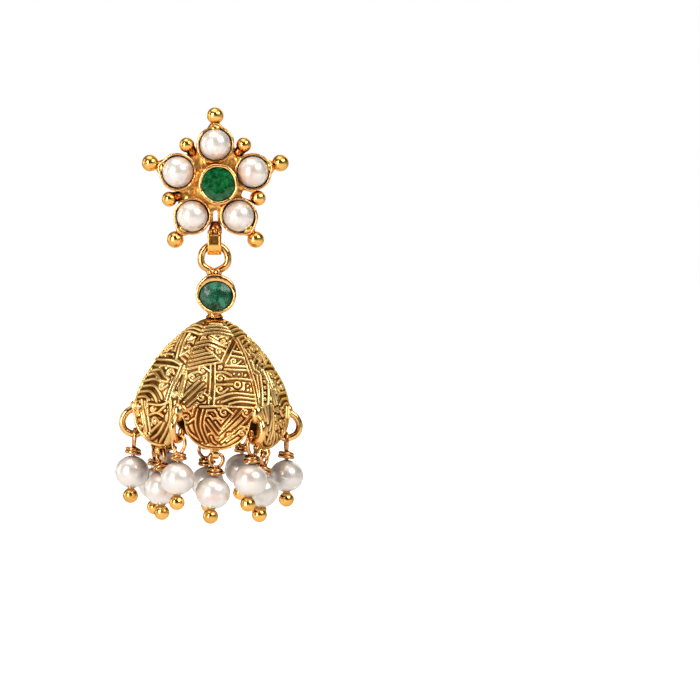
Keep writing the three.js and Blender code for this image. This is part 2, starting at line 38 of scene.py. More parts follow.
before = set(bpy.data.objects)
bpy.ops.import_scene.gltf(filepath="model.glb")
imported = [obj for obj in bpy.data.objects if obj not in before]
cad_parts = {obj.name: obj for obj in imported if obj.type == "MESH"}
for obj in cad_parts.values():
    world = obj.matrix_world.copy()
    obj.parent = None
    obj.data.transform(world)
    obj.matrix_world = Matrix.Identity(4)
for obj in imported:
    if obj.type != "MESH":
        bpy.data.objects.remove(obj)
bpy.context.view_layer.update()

MM = 0.001

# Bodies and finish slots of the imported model.
STUD = "stud"
PENDANT = "pendant"

# Places shared by several pieces, in millimetres, as in the solid model.
HANG = np.array([-0.12, -1.25, -7.26])
BELL_TOP_Z = -16.0
BELL_LEAN = math.radians(2)
BELL_TURN = 4.9
PETALS = 6
STAR_POINTS = 5
STAR_STEP = 360 / STAR_POINTS
# Where the middles of the star's balls lie, in front of the plate's back.
BALL_Y = -0.98
NOTCH_TOP_Z = -27.3
NOTCH_FOOT_Z = -28.2
PETAL_TIP_Z = -31.35
PETAL_SIDE = 0.82
BELL_FLATNESS = 0.075
BELL_RIDGE = [
    (0.6, -16.0),
    (1.6, -16.35),
    (3.3, -17.5),
    (5.76, -19.8),
    (7.27, -21.85),
    (8.64, -24.15),
    (9.45, -26.9),
    (9.45, -28.2),
    (9.1, -29.6),
    (8.4, -30.8),
    (7.75, -31.5),
]
HOOK_PATH = [
    (9.2, -26.95),
    (9.6, -27.25),
    (10.25, -27.75),
    (10.68, -28.7),
    (10.34, -29.75),
    (9.15, -30.3),
    (8.4, -29.9),
    (8.15, -29.15),
]
HOOK_FOOT = (9.15, -30.3)
BAND_RADIUS = 7.2
BAND_Z = -31.82


class JhumkaStar(PropertyGroup):
    pearl_ring: FloatProperty(
        name="Pearl ring",
        description="Distance of the star's pearls from its middle, mm",
        default=4.74,
        min=4,
        max=6,
    )
    pearl_radius: FloatProperty(
        name="Pearl radius",
        description="Radius of the star's half pearls, mm",
        default=1.88,
        min=1.2,
        max=2.2,
    )
    cup_radius: FloatProperty(
        name="Cup radius", description="Outer radius of a pearl's cup, mm", default=2.26, min=2, max=2.6
    )
    tip_distance: FloatProperty(
        name="Tip ball distance",
        description="Distance of the tip balls from the middle, mm",
        default=8.2,
        min=7,
        max=9,
    )
    tip_ball: FloatProperty(
        name="Tip ball",
        description="Radius of a tip ball, mm",
        default=1.0,
        min=0.5,
        max=1.2,
    )
    valley_distance: FloatProperty(
        name="Valley ball distance",
        description="Distance of the valley balls, mm",
        default=5.8,
        min=5,
        max=6.5,
    )
    valley_ball: FloatProperty(
        name="Valley ball", description="Radius of a valley ball, mm", default=0.9, min=0.4, max=1.1
    )
    stone_radius: FloatProperty(
        name="Stone radius", description="Radius of the centre stone, mm", default=1.98, min=1.5, max=2.2
    )
    stone_x: FloatProperty(
        name="Stone offset",
        description="How far the centre stone sits to the right, mm",
        default=0.35,
        min=0,
        max=0.5,
    )


class JhumkaBell(PropertyGroup):
    wall: FloatProperty(
        name="Wall",
        description="Thickness of the bell's wall, mm",
        default=0.7,
        min=0.4,
        max=1,
    )
    relief: FloatProperty(
        name="Relief", description="Height of the raised ornament, mm", default=0.22, min=0.05, max=0.35
    )
    pitch: FloatProperty(
        name="Line pitch", description="Spacing of the raised lines, mm", default=0.46, min=0.3, max=1
    )
    columns: IntProperty(
        name="Columns",
        description="Mesh columns of one gore",
        default=150,
        min=24,
        max=200,
    )
    shoulder_rows: IntProperty(
        name="Shoulder rows",
        description="Mesh rows to the notch",
        default=190,
        min=20,
        max=240,
    )
    petal_rows: IntProperty(
        name="Petal rows",
        description="Mesh rows of a petal",
        default=78,
        min=10,
        max=100,
    )


class JhumkaDrops(PropertyGroup):
    pearl_radius: FloatProperty(
        name="Pearl radius", description="Radius of a drop pearl, mm", default=2.05, min=1.5, max=2.3
    )
    pearl_half_height: FloatProperty(
        name="Pearl half height",
        description="Half height of a drop pearl, mm",
        default=1.95,
        min=1.4,
        max=2.2,
    )
    wire: FloatProperty(
        name="Wire",
        description="Radius of the drops' wire, mm",
        default=0.225,
        min=0.1,
        max=0.3,
    )
    ball: FloatProperty(
        name="Ball",
        description="Radius of the end ball, mm",
        default=0.92,
        min=0.5,
        max=1.1,
    )


class JhumkaFinish(PropertyGroup):
    setting_gold: FloatVectorProperty(
        name="Setting gold",
        description="Polished orange gold",
        subtype="COLOR",
        default=(0.93, 0.46, 0.13),
    )
    bell_gold: FloatVectorProperty(
        name="Bell gold", description="Pale antique gold", subtype="COLOR", default=(1.0, 0.71, 0.33)
    )
    groove: FloatVectorProperty(
        name="Groove",
        description="Dark patina in the grooves",
        subtype="COLOR",
        default=(0.068, 0.027, 0.008),
    )
    wire_gold: FloatVectorProperty(
        name="Wire gold", description="Copper-toned wire", subtype="COLOR", default=(0.66, 0.33, 0.13)
    )
    pearl: FloatVectorProperty(
        name="Pearl",
        description="Nacre",
        subtype="COLOR",
        default=(0.78, 0.72, 0.66),
    )
    star_stone: FloatVectorProperty(
        name="Star stone", description="Deep green", subtype="COLOR", default=(0.006, 0.22, 0.05)
    )
    drop_stone: FloatVectorProperty(
        name="Drop stone",
        description="Cloudy bluish green",
        subtype="COLOR",
        default=(0.008, 0.17, 0.075),
    )


def smoothstep(low, high, value):
    share = np.clip((value - low) / (high - low), 0, 1)
    return share * share * (3 - 2 * share)


def catmull(points, count, closed=False):
    """A smooth curve through the points, as an array of count places."""
    points = np.asarray(points, float)
    spans = len(points) if closed else len(points) - 1
    places = np.linspace(0, spans, count, endpoint=not closed)
    index = np.minimum(places.astype(int), spans - 1)
    t = (places - index)[:, None]

    def at(offset):
        if closed:
            return points[(index + offset) % len(points)]
        return points[np.clip(index + offset, 0, len(points) - 1)]

    before, start, end, after = at(-1), at(0), at(1), at(2)
    return 0.5 * (
        2 * start
        + (end - before) * t
        + (2 * before - 5 * start + 4 * end - after) * t**2
        + (3 * start - before - 3 * end + after) * t**3
    )


def unit(vectors):
    return vectors / np.maximum(np.linalg.norm(vectors, axis=-1, keepdims=True), 1e-12)


def grid_faces(rows, columns, wrap_rows=False, wrap_columns=True):
    """Quads between neighbouring places of a rows by columns grid."""
    r = np.arange(rows if wrap_rows else rows - 1)
    c = np.arange(columns if wrap_columns else columns - 1)
    r, c = np.meshgrid(r, c, indexing="ij")
    r2, c2 = (r + 1) % rows, (c + 1) % columns
    quads = np.stack([r * columns + c, r * columns + c2, r2 * columns + c2, r2 * columns + c], axis=-1)
    return quads.reshape(-1, 4).tolist()


def tube(path, radius, sides=14, closed=False):
    """A round wire along the path; open ends are rounded off."""
    path = np.asarray(path, float)
    if closed:
        tangent = unit(np.roll(path, -1, 0) - np.roll(path, 1, 0))
        radii = np.full(len(path), float(radius))
    else:
        tangent = unit(np.gradient(path, axis=0))
        cap = np.array([1.0, 0.92, 0.72, 0.4])
        rise = np.sqrt(1 - cap**2)
        head = path[0] - tangent[0] * radius * cap[:, None]
        foot = (path[-1] + tangent[-1] * radius * cap[:, None])[::-1]
        radii = np.concatenate([rise, np.ones(len(path)), rise[::-1]]) * radius
        radii = np.maximum(radii, radius * 0.02)
        path = np.vstack([head, path, foot])
        tangent = np.vstack([np.repeat(tangent[:1], 4, 0), tangent, np.repeat(tangent[-1:], 4, 0)])
    normal = np.cross(tangent[0], [0.0, 0.0, 1.0])
    if np.linalg.norm(normal) < 0.1:
        normal = np.cross(tangent[0], [0.0, 1.0, 0.0])
    normals = []
    for direction in tangent:
        normal = normal - direction * (normal @ direction)
        normal = normal / np.linalg.norm(normal)
        normals.append(normal)
    normals = np.array(normals)
    binormals = np.cross(tangent, normals)
    angles = np.linspace(0, 2 * math.pi, sides, endpoint=False)
    spokes = np.cos(angles)[None, :, None] * normals[:, None]
    spokes = spokes + np.sin(angles)[None, :, None] * binormals[:, None]
    rings = path[:, None] + radii[:, None, None] * spokes
    faces = grid_faces(len(path), sides, wrap_rows=closed)
    if not closed:
        faces.append(list(range(sides))[::-1])
        faces.append(list(range((len(path) - 1) * sides, len(path) * sides)))
    return rings.reshape(-1, 3), faces


def loft(rings):
    """A closed shape through a row of outlines with equally many places."""
    rings = np.asarray(rings, float)
    rows, corners = rings.shape[:2]
    faces = grid_faces(rows, corners)
    faces.append(list(range(corners)))
    faces.append(list(range((rows - 1) * corners, rows * corners)))
    return rings.reshape(-1, 3), faces


def arc_profile(radius, half_height, angles):
    """Profile places of an upright oval at angles from its foot."""
    return [(radius * math.sin(angle), -half_height * math.cos(angle)) for angle in angles]


def squared(angles, power):
    """Cosines and sines drawn out towards a square; the smaller the power, the squarer."""
    across, rise = np.cos(angles), np.sin(angles)
    return np.sign(across) * np.abs(across) ** power, np.sign(rise) * np.abs(rise) ** power


def lathe(profile, sides=40):
    """A (radius, height) profile turned about Z. It closes on itself, or starts and ends on the axis."""
    profile = np.asarray(profile, float)
    on_axis = profile[0][0] == 0 and profile[-1][0] == 0
    body = profile[1:-1] if on_axis else profile
    angles = np.linspace(0, 2 * math.pi, sides, endpoint=False)
    rings = np.stack(
        [
            body[:, :1] * np.cos(angles),
            body[:, :1] * np.sin(angles),
            np.repeat(body[:, 1:], sides, axis=1),
        ],
        axis=-1,
    ).reshape(-1, 3)
    faces = grid_faces(len(body), sides, wrap_rows=not on_axis)
    if not on_axis:
        return rings, faces
    first, last = len(rings), len(rings) + 1
    top = (len(body) - 1) * sides
    for k in range(sides):
        faces.append([first, (k + 1) % sides, k])
        faces.append([last, top + k, top + (k + 1) % sides])
    return np.vstack([rings, [[0, 0, profile[0][1]], [0, 0, profile[-1][1]]]]), faces


def rounded(profile, radius, steps=4):
    """The profile with its inner corners rounded off, for lips and rims."""
    profile = [np.array(p, float) for p in profile]
    smooth = [profile[0]]
    for before, corner, after in zip(profile, profile[1:], profile[2:]):
        to_before, to_after = before - corner, after - corner
        reach = min(radius, 0.45 * np.linalg.norm(to_before), 0.45 * np.linalg.norm(to_after))
        start = corner + unit(to_before) * reach
        end = corner + unit(to_after) * reach
        for k in range(steps + 1):
            t = k / steps
            smooth.append((1 - t) ** 2 * start + 2 * t * (1 - t) * corner + t**2 * end)
    smooth.append(profile[-1])
    return smooth


def ball_shape(radius, sides=28, rows=18):
    profile = arc_profile(radius, radius, np.linspace(0, math.pi, rows + 1))
    profile[0] = (0, -radius)
    profile[-1] = (0, radius)
    return lathe(profile, sides)


def moved(shape, matrix):
    """The shape under a 4x4 matrix."""
    places, faces = shape
    turn = np.array(matrix.to_3x3())
    return places @ turn.T + np.array(matrix.translation), faces


def shifted(shape, x, y, z):
    return shape[0] + np.array([x, y, z]), shape[1]


# Turns a shape made about Z so that its top looks to the front.
TO_FRONT = Matrix.Rotation(math.radians(90), 4, "X")


def bell_lean():
    """The bell and its drops' hanging points lean a little about the bell's top."""
    pivot = Vector((HANG[0], HANG[1], BELL_TOP_Z))
    leaned = Matrix.Rotation(BELL_LEAN, 4, "Y") @ Matrix.Translation((0, 0, -BELL_TOP_Z))
    return Matrix.Translation(pivot) @ leaned


def around_bell(radius, degrees, z):
    """A point about the bell's axis; 0 degrees is the front and positive turns towards +X."""
    angle = math.radians(degrees)
    return np.array([radius * math.sin(angle), -radius * math.cos(angle), z])


def on_star(distance, degrees):
    """X and Z of a point of the star, clockwise from straight up."""
    angle = math.radians(degrees)
    return distance * math.sin(angle), distance * math.cos(angle)


def add_piece(name, shapes, finish, body, nodes, sharp=None, attributes=None):
    """Makes one object from shapes in millimetres, gives it its finish and its place in the frame."""
    places, faces, start = [], [], 0
    for shape_places, shape_faces in shapes:
        places.append(shape_places)
        faces.extend([[corner + start for corner in face] for face in shape_faces])
        start += len(shape_places)
    mesh = bpy.data.meshes.new(name)
    mesh.from_pydata((np.vstack(places) * MM).tolist(), [], faces)
    made = bmesh.new()
    made.from_mesh(mesh)
    bmesh.ops.recalc_face_normals(made, faces=made.faces)
    made.to_mesh(mesh)
    made.free()
    mesh.polygons.foreach_set("use_smooth", [True] * len(mesh.polygons))
    if sharp is not None:
        mesh.set_sharp_from_angle(angle=math.radians(sharp))
    for key, values in (attributes or {}).items():
        layer = mesh.attributes.new(key, "FLOAT", "POINT")
        layer.data.foreach_set("value", np.asarray(values, np.float32))
    mesh.materials.append(finish_material(finish))
    piece = bpy.data.objects.new(name, mesh)
    bpy.context.scene.collection.objects.link(piece)
    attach(piece, body)
    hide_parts(*nodes)
    return piece


class Nodes:
    """Adds shader nodes to a tree and links them."""

    def __init__(self, tree):
        self.tree = tree

    def add(self, kind, settings=None, **inputs):
        node = self.tree.nodes.new(kind)
        for key, value in (settings or {}).items():
            setattr(node, key, value)
        for key, value in inputs.items():
            self.set(node, key.replace("_", " "), value)
        return node

    def set(self, node, socket, value):
        """Gives a node's socket, named or numbered, a value, or another node's output."""
        if isinstance(value, bpy.types.NodeSocket):
            self.tree.links.new(value, node.inputs[socket])
        else:
            node.inputs[socket].default_value = value

    def place(self, kind="Object"):
        return self.add("ShaderNodeTexCoord").outputs[kind]

    def axis(self, name, kind="Object"):
        """One coordinate of the place that is shaded."""
        return self.add("ShaderNodeSeparateXYZ", Vector=self.place(kind)).outputs[name]

    def noise(self, scale, detail=3.0, roughness=0.5):
        node = self.add("ShaderNodeTexNoise", Vector=self.place(), Scale=scale)
        self.set(node, "Detail", detail)
        self.set(node, "Roughness", roughness)
        return node.outputs["Fac"]

    def ramp(self, factor, stops):
        node = self.add("ShaderNodeValToRGB", Fac=factor)
        elements = node.color_ramp.elements
        while len(elements) < len(stops):
            elements.new(0.5)
        for element, (position, colour) in zip(elements, stops):
            element.position = position
            element.color = (*colour, 1)
        return node.outputs["Color"]

    def span(self, value, low=0.0, high=1.0, start=0.0, end=1.0):
        """Goes from low to high as the value goes from start to end."""
        limits = {"From_Min": start, "From_Max": end, "To_Min": low, "To_Max": high}
        node = self.add("ShaderNodeMapRange", Value=value, **limits)
        return node.outputs["Result"]

    def mix(self, factor, first, second, blend="MIX"):
        node = self.add("ShaderNodeMix", {"data_type": "RGBA", "blend_type": blend})
        # The colour mix has its factor, first and second colour at these inputs, and its colour at output 2.
        for socket, value in ((0, factor), (6, first), (7, second)):
            self.set(node, socket, value)
        return node.outputs[2]

    def product(self, first, second):
        node = self.add("ShaderNodeMath", {"operation": "MULTIPLY"})
        self.set(node, 0, first)
        self.set(node, 1, second)
        return node.outputs["Value"]

    def attribute(self, name):
        return self.add("ShaderNodeAttribute", {"attribute_name": name}).outputs["Fac"]

    def camera_ray(self):
        return self.add("ShaderNodeLightPath").outputs["Is Camera Ray"]

    def painted_crevice_shade(self, colour, dark, reach):
        """Painted shade: darkens corners and gaps closer together than the reach, where shade falls."""
        node = self.add("ShaderNodeAmbientOcclusion", {"samples": 6}, Distance=reach)
        return self.mix(self.span(node.outputs["AO"], start=0.3, end=0.75), (*dark, 1), colour)

    def bump(self, height, strength, distance):
        node = self.add("ShaderNodeBump", Strength=strength, Distance=distance, Height=height)
        return node.outputs["Normal"]


class Finish(Nodes):
    """A material with one principled shader."""

    def __init__(self, name):
        self.material = bpy.data.materials.new(name)
        self.material.use_nodes = True
        super().__init__(self.material.node_tree)
        self.shader = self.tree.nodes["Principled BSDF"]

    def wear(self, **inputs):
        """Sets the shader's own sockets and returns the material."""
        for key, value in inputs.items():
            self.set(self.shader, key.replace("_", " "), value)
        return self.material


def tint(colour, factor):
    """The colour made lighter or darker by a factor."""
    return tuple(min(1.0, channel * factor) for channel in colour)


def gold_material(name, colour, roughness=(0.12, 0.3), grain=0.3, darkened=True, folded=False):
    """Polished gold with slow shifts of tone and fine wear, and, unless told not to, painted shade in its
    corners and gaps; folded gold is uneven on a coarser scale.
    """
    made = Finish(name)
    colour = tuple(colour)
    shifts = [(0.32, tint(colour, 0.84)), (0.55, colour), (0.75, tint(colour, 1.08))]
    tone = made.ramp(made.noise(420.0, 4.0), shifts)
    # Painted shade: corners and gaps take a darker copy of the gold.
    if darkened:
        tone = made.painted_crevice_shade(tone, tint(colour, 0.28), 0.6 * MM)
    height = made.noise(650.0, 2.0) if folded else made.noise(1500.0, 4.0)
    return made.wear(
        Base_Color=tone,
        Metallic=1.0,
        Roughness=made.span(made.noise(900.0, 5.0), *roughness),
        Normal=made.bump(height, grain, 0.6 * MM if folded else 0.12 * MM),
        # Seen at a slant, gold keeps its warm tone.
        Specular_Tint=(1.0, 0.72, 0.42, 1),
    )


def bell_material(finish):
    """Pale gold on the raised lines and a dark patina in the grooves; the petals are darker and redder than
    the dome, partly their own redder tone and partly painted shade where they turn down and inward.
    """
    made = Finish("bell")
    gold = tuple(finish.bell_gold)
    relief = made.attribute("relief")
    petal = made.attribute("petal")
    shift = made.noise(420.0, 4.0, 0.6)
    dome_ground = made.ramp(shift, [(0.44, tuple(finish.groove)), (0.68, (0.3, 0.145, 0.042))])
    petal_ground = made.ramp(shift, [(0.35, (0.09, 0.032, 0.009)), (0.65, (0.32, 0.13, 0.035))])
    ground = made.mix(petal, dome_ground, petal_ground)
    raised = made.ramp(relief, [(0.4, (0.8, 0.44, 0.13)), (0.7, gold), (1.0, tint(gold, 1.15))])
    colour = made.mix(made.span(relief, start=0.1, end=0.42), ground, raised)
    patina = made.ramp(made.noise(300.0, 5.0, 0.6), [(0.3, (0.8, 0.66, 0.5)), (0.55, (1, 1, 1))])
    darkened = made.mix(1.0, colour, patina, "MULTIPLY")
    # A redder tone and painted shade on the petals, which turn down and inward.
    reddened = made.mix(1.0, darkened, (0.86, 0.56, 0.34, 1), "MULTIPLY")
    return made.wear(
        Base_Color=made.mix(petal, darkened, reddened),
        Metallic=1.0,
        Roughness=made.span(relief, 0.5, 0.22),
        Normal=made.bump(made.noise(5200.0, 3.0, 0.6), 0.25, 0.05 * MM),
        Specular_Tint=(0.75, 0.5, 0.22, 1),
    )


def pearl_material(finish):
    """Nacre: a pale body with faint rose, grey and cream clouds, partly metallic, under a clear coat."""
    made = Finish("pearl")
    body = tuple(finish.pearl)
    rose = (0.7, 0.56, 0.51)
    grey = (0.63, 0.6, 0.59)
    cream = (0.72, 0.58, 0.42)
    clouds = [(0.28, grey), (0.42, body), (0.58, body), (0.7, rose), (0.82, cream)]
    return made.wear(
        Base_Color=made.ramp(made.noise(330.0, 3.0), clouds),
        Roughness=made.span(made.noise(1300.0, 4.0), 0.24, 0.38),
        Metallic=0.42,
        IOR=1.5,
        # Light that enters the pearl comes out warmer, on its shaded side too.
        Subsurface_Weight=0.5,
        Subsurface_Radius=(1.0, 0.55, 0.38),
        Subsurface_Scale=1.4 * MM,
        Coat_Weight=1.0,
        Coat_IOR=1.7,
        Coat_Roughness=0.07,
        Normal=made.bump(made.noise(500.0, 3.0), 0.3, 0.12 * MM),
    )


def stone_material(colour, cloud, cloudiness, shaded=1.0, garden_scale=900.0, roughness=(0.01, 0.09)):
    """A green stone: clear body colour, paler and darker flaws inside, and a left side that may be darker, as
    painted shade.
    """
    made = Finish("stone")
    colour = tuple(colour)
    flaws = [(0.38, tint(colour, 0.2)), (0.49, colour), (0.6, cloud), (0.7, colour)]
    garden = made.ramp(made.noise(garden_scale, 6.0, 0.68), flaws)
    # Painted shade: the left side of the stone is multiplied by the shaded factor.
    darker = made.mix(1.0, garden, (shaded, shaded, shaded, 1), "MULTIPLY")
    right = made.span(made.axis("X"), start=-2.2 * MM, end=0.4 * MM)
    return made.wear(
        Base_Color=made.mix(right, darker, garden),
        Transmission_Weight=1 - cloudiness,
        IOR=1.5,
        Specular_IOR_Level=0.22,
        Roughness=made.span(made.noise(1200.0, 2.0), *roughness),
    )


def pale_material():
    """A pale floor, lit far out as bright as the backdrop, so that the horizon doesn't show."""
    made = Finish("pale")
    tone = made.ramp(made.noise(3.0, 2.0), [(0.3, (0.86, 0.86, 0.86)), (0.7, (0.9, 0.9, 0.9))])
    reach = made.add("ShaderNodeVectorMath", {"operation": "LENGTH"}, Vector=made.place()).outputs["Value"]
    far = made.span(reach, start=0.2, end=0.42)
    return made.wear(
        Base_Color=tone,
        Roughness=0.9,
        Emission_Color=(1, 1, 1, 1),
        Emission_Strength=made.product(far, made.camera_ray()),
    )


# Golds with colours of their own: colour, range of roughness, grain, whether painted shade darkens the gold's
# corners and gaps, and whether the gold is folded.
GOLDS = {
    "plate_gold": ((1.0, 0.56, 0.14), (0.24, 0.42), 0.9, False, True),
    # shade_gold is a darker copy of the gold: painted shade on tucked-in and low parts.
    "shade_gold": ((0.5, 0.2, 0.05), (0.2, 0.35)),
    "ball_gold": ((0.94, 0.51, 0.13), (0.06, 0.16), 0.6),
    "lip_gold": ((0.95, 0.5, 0.18), (0.06, 0.16), 0.8),
    "link_gold": ((0.82, 0.43, 0.14), (0.06, 0.15), 0.15),
    "hook_gold": ((0.96, 0.57, 0.2), (0.1, 0.2), 0.1, False),
}


def make_finish(key, finish):
    """The material of a finish, made with the colours of the Finish settings."""
    if key in GOLDS:
        return gold_material(key, *GOLDS[key])
    if key == "star_gold":
        return gold_material(key, finish.setting_gold)
    if key == "wire_gold":
        return gold_material(key, finish.wire_gold, (0.1, 0.24))
    if key == "star_stone":
        return stone_material(finish.star_stone, (0.04, 0.42, 0.15), 0.3, garden_scale=1500.0)
    if key == "pale":
        return pale_material()
    if key == "drop_stone":
        return stone_material(finish.drop_stone, (0.1, 0.44, 0.25), 0.5, 0.3, roughness=(0.16, 0.34))
    return {"bell": bell_material, "pearl": pearl_material}[key](finish)


def finish_material(key):
    """Each finish is made once and shared."""
    name = "finish_" + key
    made = bpy.data.materials.get(name)
    if made is None:
        made = make_finish(key, bpy.context.scene.jhumka_finish)
        made.name = name
    return made


# The unevenness of a cup's lip: each wave's share, its count round the lip, and how the seed shifts it.
LIP_WAVES = ((0.6, 2, 1), (0.3, 5, 2.3), (0.15, 9, 1))


def cup_shape(outer, inner, back, floor, front, point=0.0, uneven=0.0, seed=0, sides=56):
    """A cup with a thin rounded lip, about Z with its mouth up; point draws the rim out towards +Y."""
    lip = 0.5 * (outer - inner)
    profile = rounded(
        [
            (0, back),
            (outer, back),
            (outer, front - lip * 0.4),
            (outer - lip, front + lip * 0.1),
            (inner, front - lip * 0.5),
            (inner, floor),
            (0, floor),
        ],
        lip * 0.9,
    )
    places, faces = lathe(profile, sides)
    angles = np.arctan2(places[:, 1], places[:, 0])
    from_point = np.abs((angles - math.pi / 2 + math.pi) % (2 * math.pi) - math.pi)
    wave = sum(np.sin(count * angles + shift * seed) * share for share, count, shift in LIP_WAVES)
    radius = np.hypot(places[:, 0], places[:, 1])
    rim = smoothstep(inner * 0.7, inner, radius)
    stretch = 1 + rim * (point * np.exp(-((from_point / 0.3) ** 2)) + uneven * wave) / outer
    places = places * np.stack([stretch, stretch, np.ones_like(stretch)], axis=1)
    high = smoothstep(floor, front, places[:, 2])
    places[:, 2] += high * uneven * np.sin(3 * angles + 1.7 * seed)
    return places, faces


def star_front(x, z, turn=0.0):
    """Turns a shape made about Z to the front of the star, with its +Y along a clockwise angle from up."""
    return Matrix.Translation((x, 0, z)) @ Matrix.Rotation(math.radians(turn), 4, "Y") @ TO_FRONT


# The plate's two slots: direction in degrees, distance from the middle, half length and half width.
PLATE_SLOTS = ((-90, 3.92, 0.78, 0.28), (-19, 4.05, 0.7, 0.46))


def plate_shape():
    """The star plate: its outline with two see-through slots, with softened edges."""
    curve = bpy.data.curves.new("plate_outline", "CURVE")
    curve.dimensions = "2D"
    curve.fill_mode = "BOTH"
    curve.extrude = 0.2
    curve.bevel_depth = 0.05
    curve.bevel_resolution = 1
    outline = []
    for k in range(100):
        degrees = 3.6 * k
        wave = 0.85 * math.cos(math.radians(STAR_POINTS * degrees))
        outline.append(on_star(5.55 + wave, degrees))
    rings = [outline]
    lengthwise, crosswise = squared(np.linspace(0, 2 * math.pi, 16, endpoint=False), 0.6)
    for angle, distance, half_length, half_width in PLATE_SLOTS:
        turn = math.radians(angle)
        along = np.array([math.cos(turn), math.sin(turn)])
        across = np.array([-along[1], along[0]])
        middle_line = np.outer(distance + half_length * lengthwise, along)
        rings.append(middle_line + np.outer(half_width * crosswise, across))
    for ring in rings:
        spline = curve.splines.new("POLY")
        spline.points.add(len(ring) - 1)
        for point, (x, z) in zip(spline.points, ring):
            point.co = (x, z, 0, 1)
        spline.use_cyclic_u = True
    holder = bpy.data.objects.new("plate_outline", curve)
    bpy.context.scene.collection.objects.link(holder)
    bpy.context.view_layer.update()
    mesh = bpy.data.meshes.new_from_object(holder.evaluated_get(bpy.context.evaluated_depsgraph_get()))
    places = np.array([v.co[:] for v in mesh.vertices])
    faces = [list(p.vertices) for p in mesh.polygons]
    bpy.data.objects.remove(holder)
    bpy.data.curves.remove(curve)
    bpy.data.meshes.remove(mesh)
    # The curve's x and y are the star's x and z; its thickness lies along y.
    return np.stack([places[:, 0], places[:, 2] - 0.25, places[:, 1]], axis=1), faces


def strap_shape():
    """The flat strap bent to a U under the star."""
    inner, thick, width = 0.84, 0.38, 1.66
    front_top = -7.15 - HANG[2]
    back_top = -5.8 - HANG[2]
    middle = inner + thick / 2
    bend = [math.pi + math.pi * k / 16 for k in range(17)]
    path = [(-middle, front_top), (-middle, front_top * 0.5)]
    path += [(middle * math.cos(angle), middle * math.sin(angle)) for angle in bend]
    path += [(middle, back_top * 0.5), (middle, back_top)]
    path = np.array(path)
    tangent = unit(np.gradient(path, axis=0))
    normal = np.stack([tangent[:, 1], -tangent[:, 0]], axis=1)
    section = rounded_rectangle(width, thick, 0.12)
    rings = []
    for (y, z), (ny, nz) in zip(path, normal):
        ring = [(HANG[0] + across, HANG[1] + y + ny * out, HANG[2] + z + nz * out) for across, out in section]
        rings.append(ring)
    return loft(rings)


def strap_frame():
    """Above the strap's front leg: two side bars, one across, and a sunk panel with three knots in darker
    gold, as painted shade.
    """
    front = HANG[1] - 1.03

    def upright(section, across, back, top):
        heights = (-7.3, -6.6, top)
        return loft([[(HANG[0] + across + x, front + back + y, z) for x, y in section] for z in heights])

    side_bar = rounded_rectangle(0.34, 0.42, 0.12)
    bars = [upright(side_bar, across, 0, -5.85) for across in (-0.65, 0.65)]
    cross_bar = rounded_rectangle(0.42, 0.3, 0.1)
    bars.append(loft([[(HANG[0] + x, front + y, -6.08 + z) for y, z in cross_bar] for x in (-0.7, 0, 0.7)]))
    # The panel keeps clear of the link ring, which swings close behind it.
    hollow = [upright(rounded_rectangle(1.3, 0.2, 0.06), 0, 0.14, -5.7)]
    for across, z, radius in ((-0.5, -5.72, 0.34), (0.1, -5.62, 0.36), (0.6, -5.76, 0.3)):
        hollow.append(shifted(ball_shape(radius, 18, 12), HANG[0] + across, front + 0.1, z))
    return bars, hollow


def rounded_rectangle(width, height, radius, steps=4):
    points = []
    for corner, (sx, sy) in enumerate(((1, 1), (-1, 1), (-1, -1), (1, -1))):
        for k in range(steps + 1):
            angle = math.pi / 2 * (corner + k / steps)
            x = sx * (width / 2 - radius) + radius * math.cos(angle)
            y = sy * (height / 2 - radius) + radius * math.sin(angle)
            points.append((x, y))
    return points


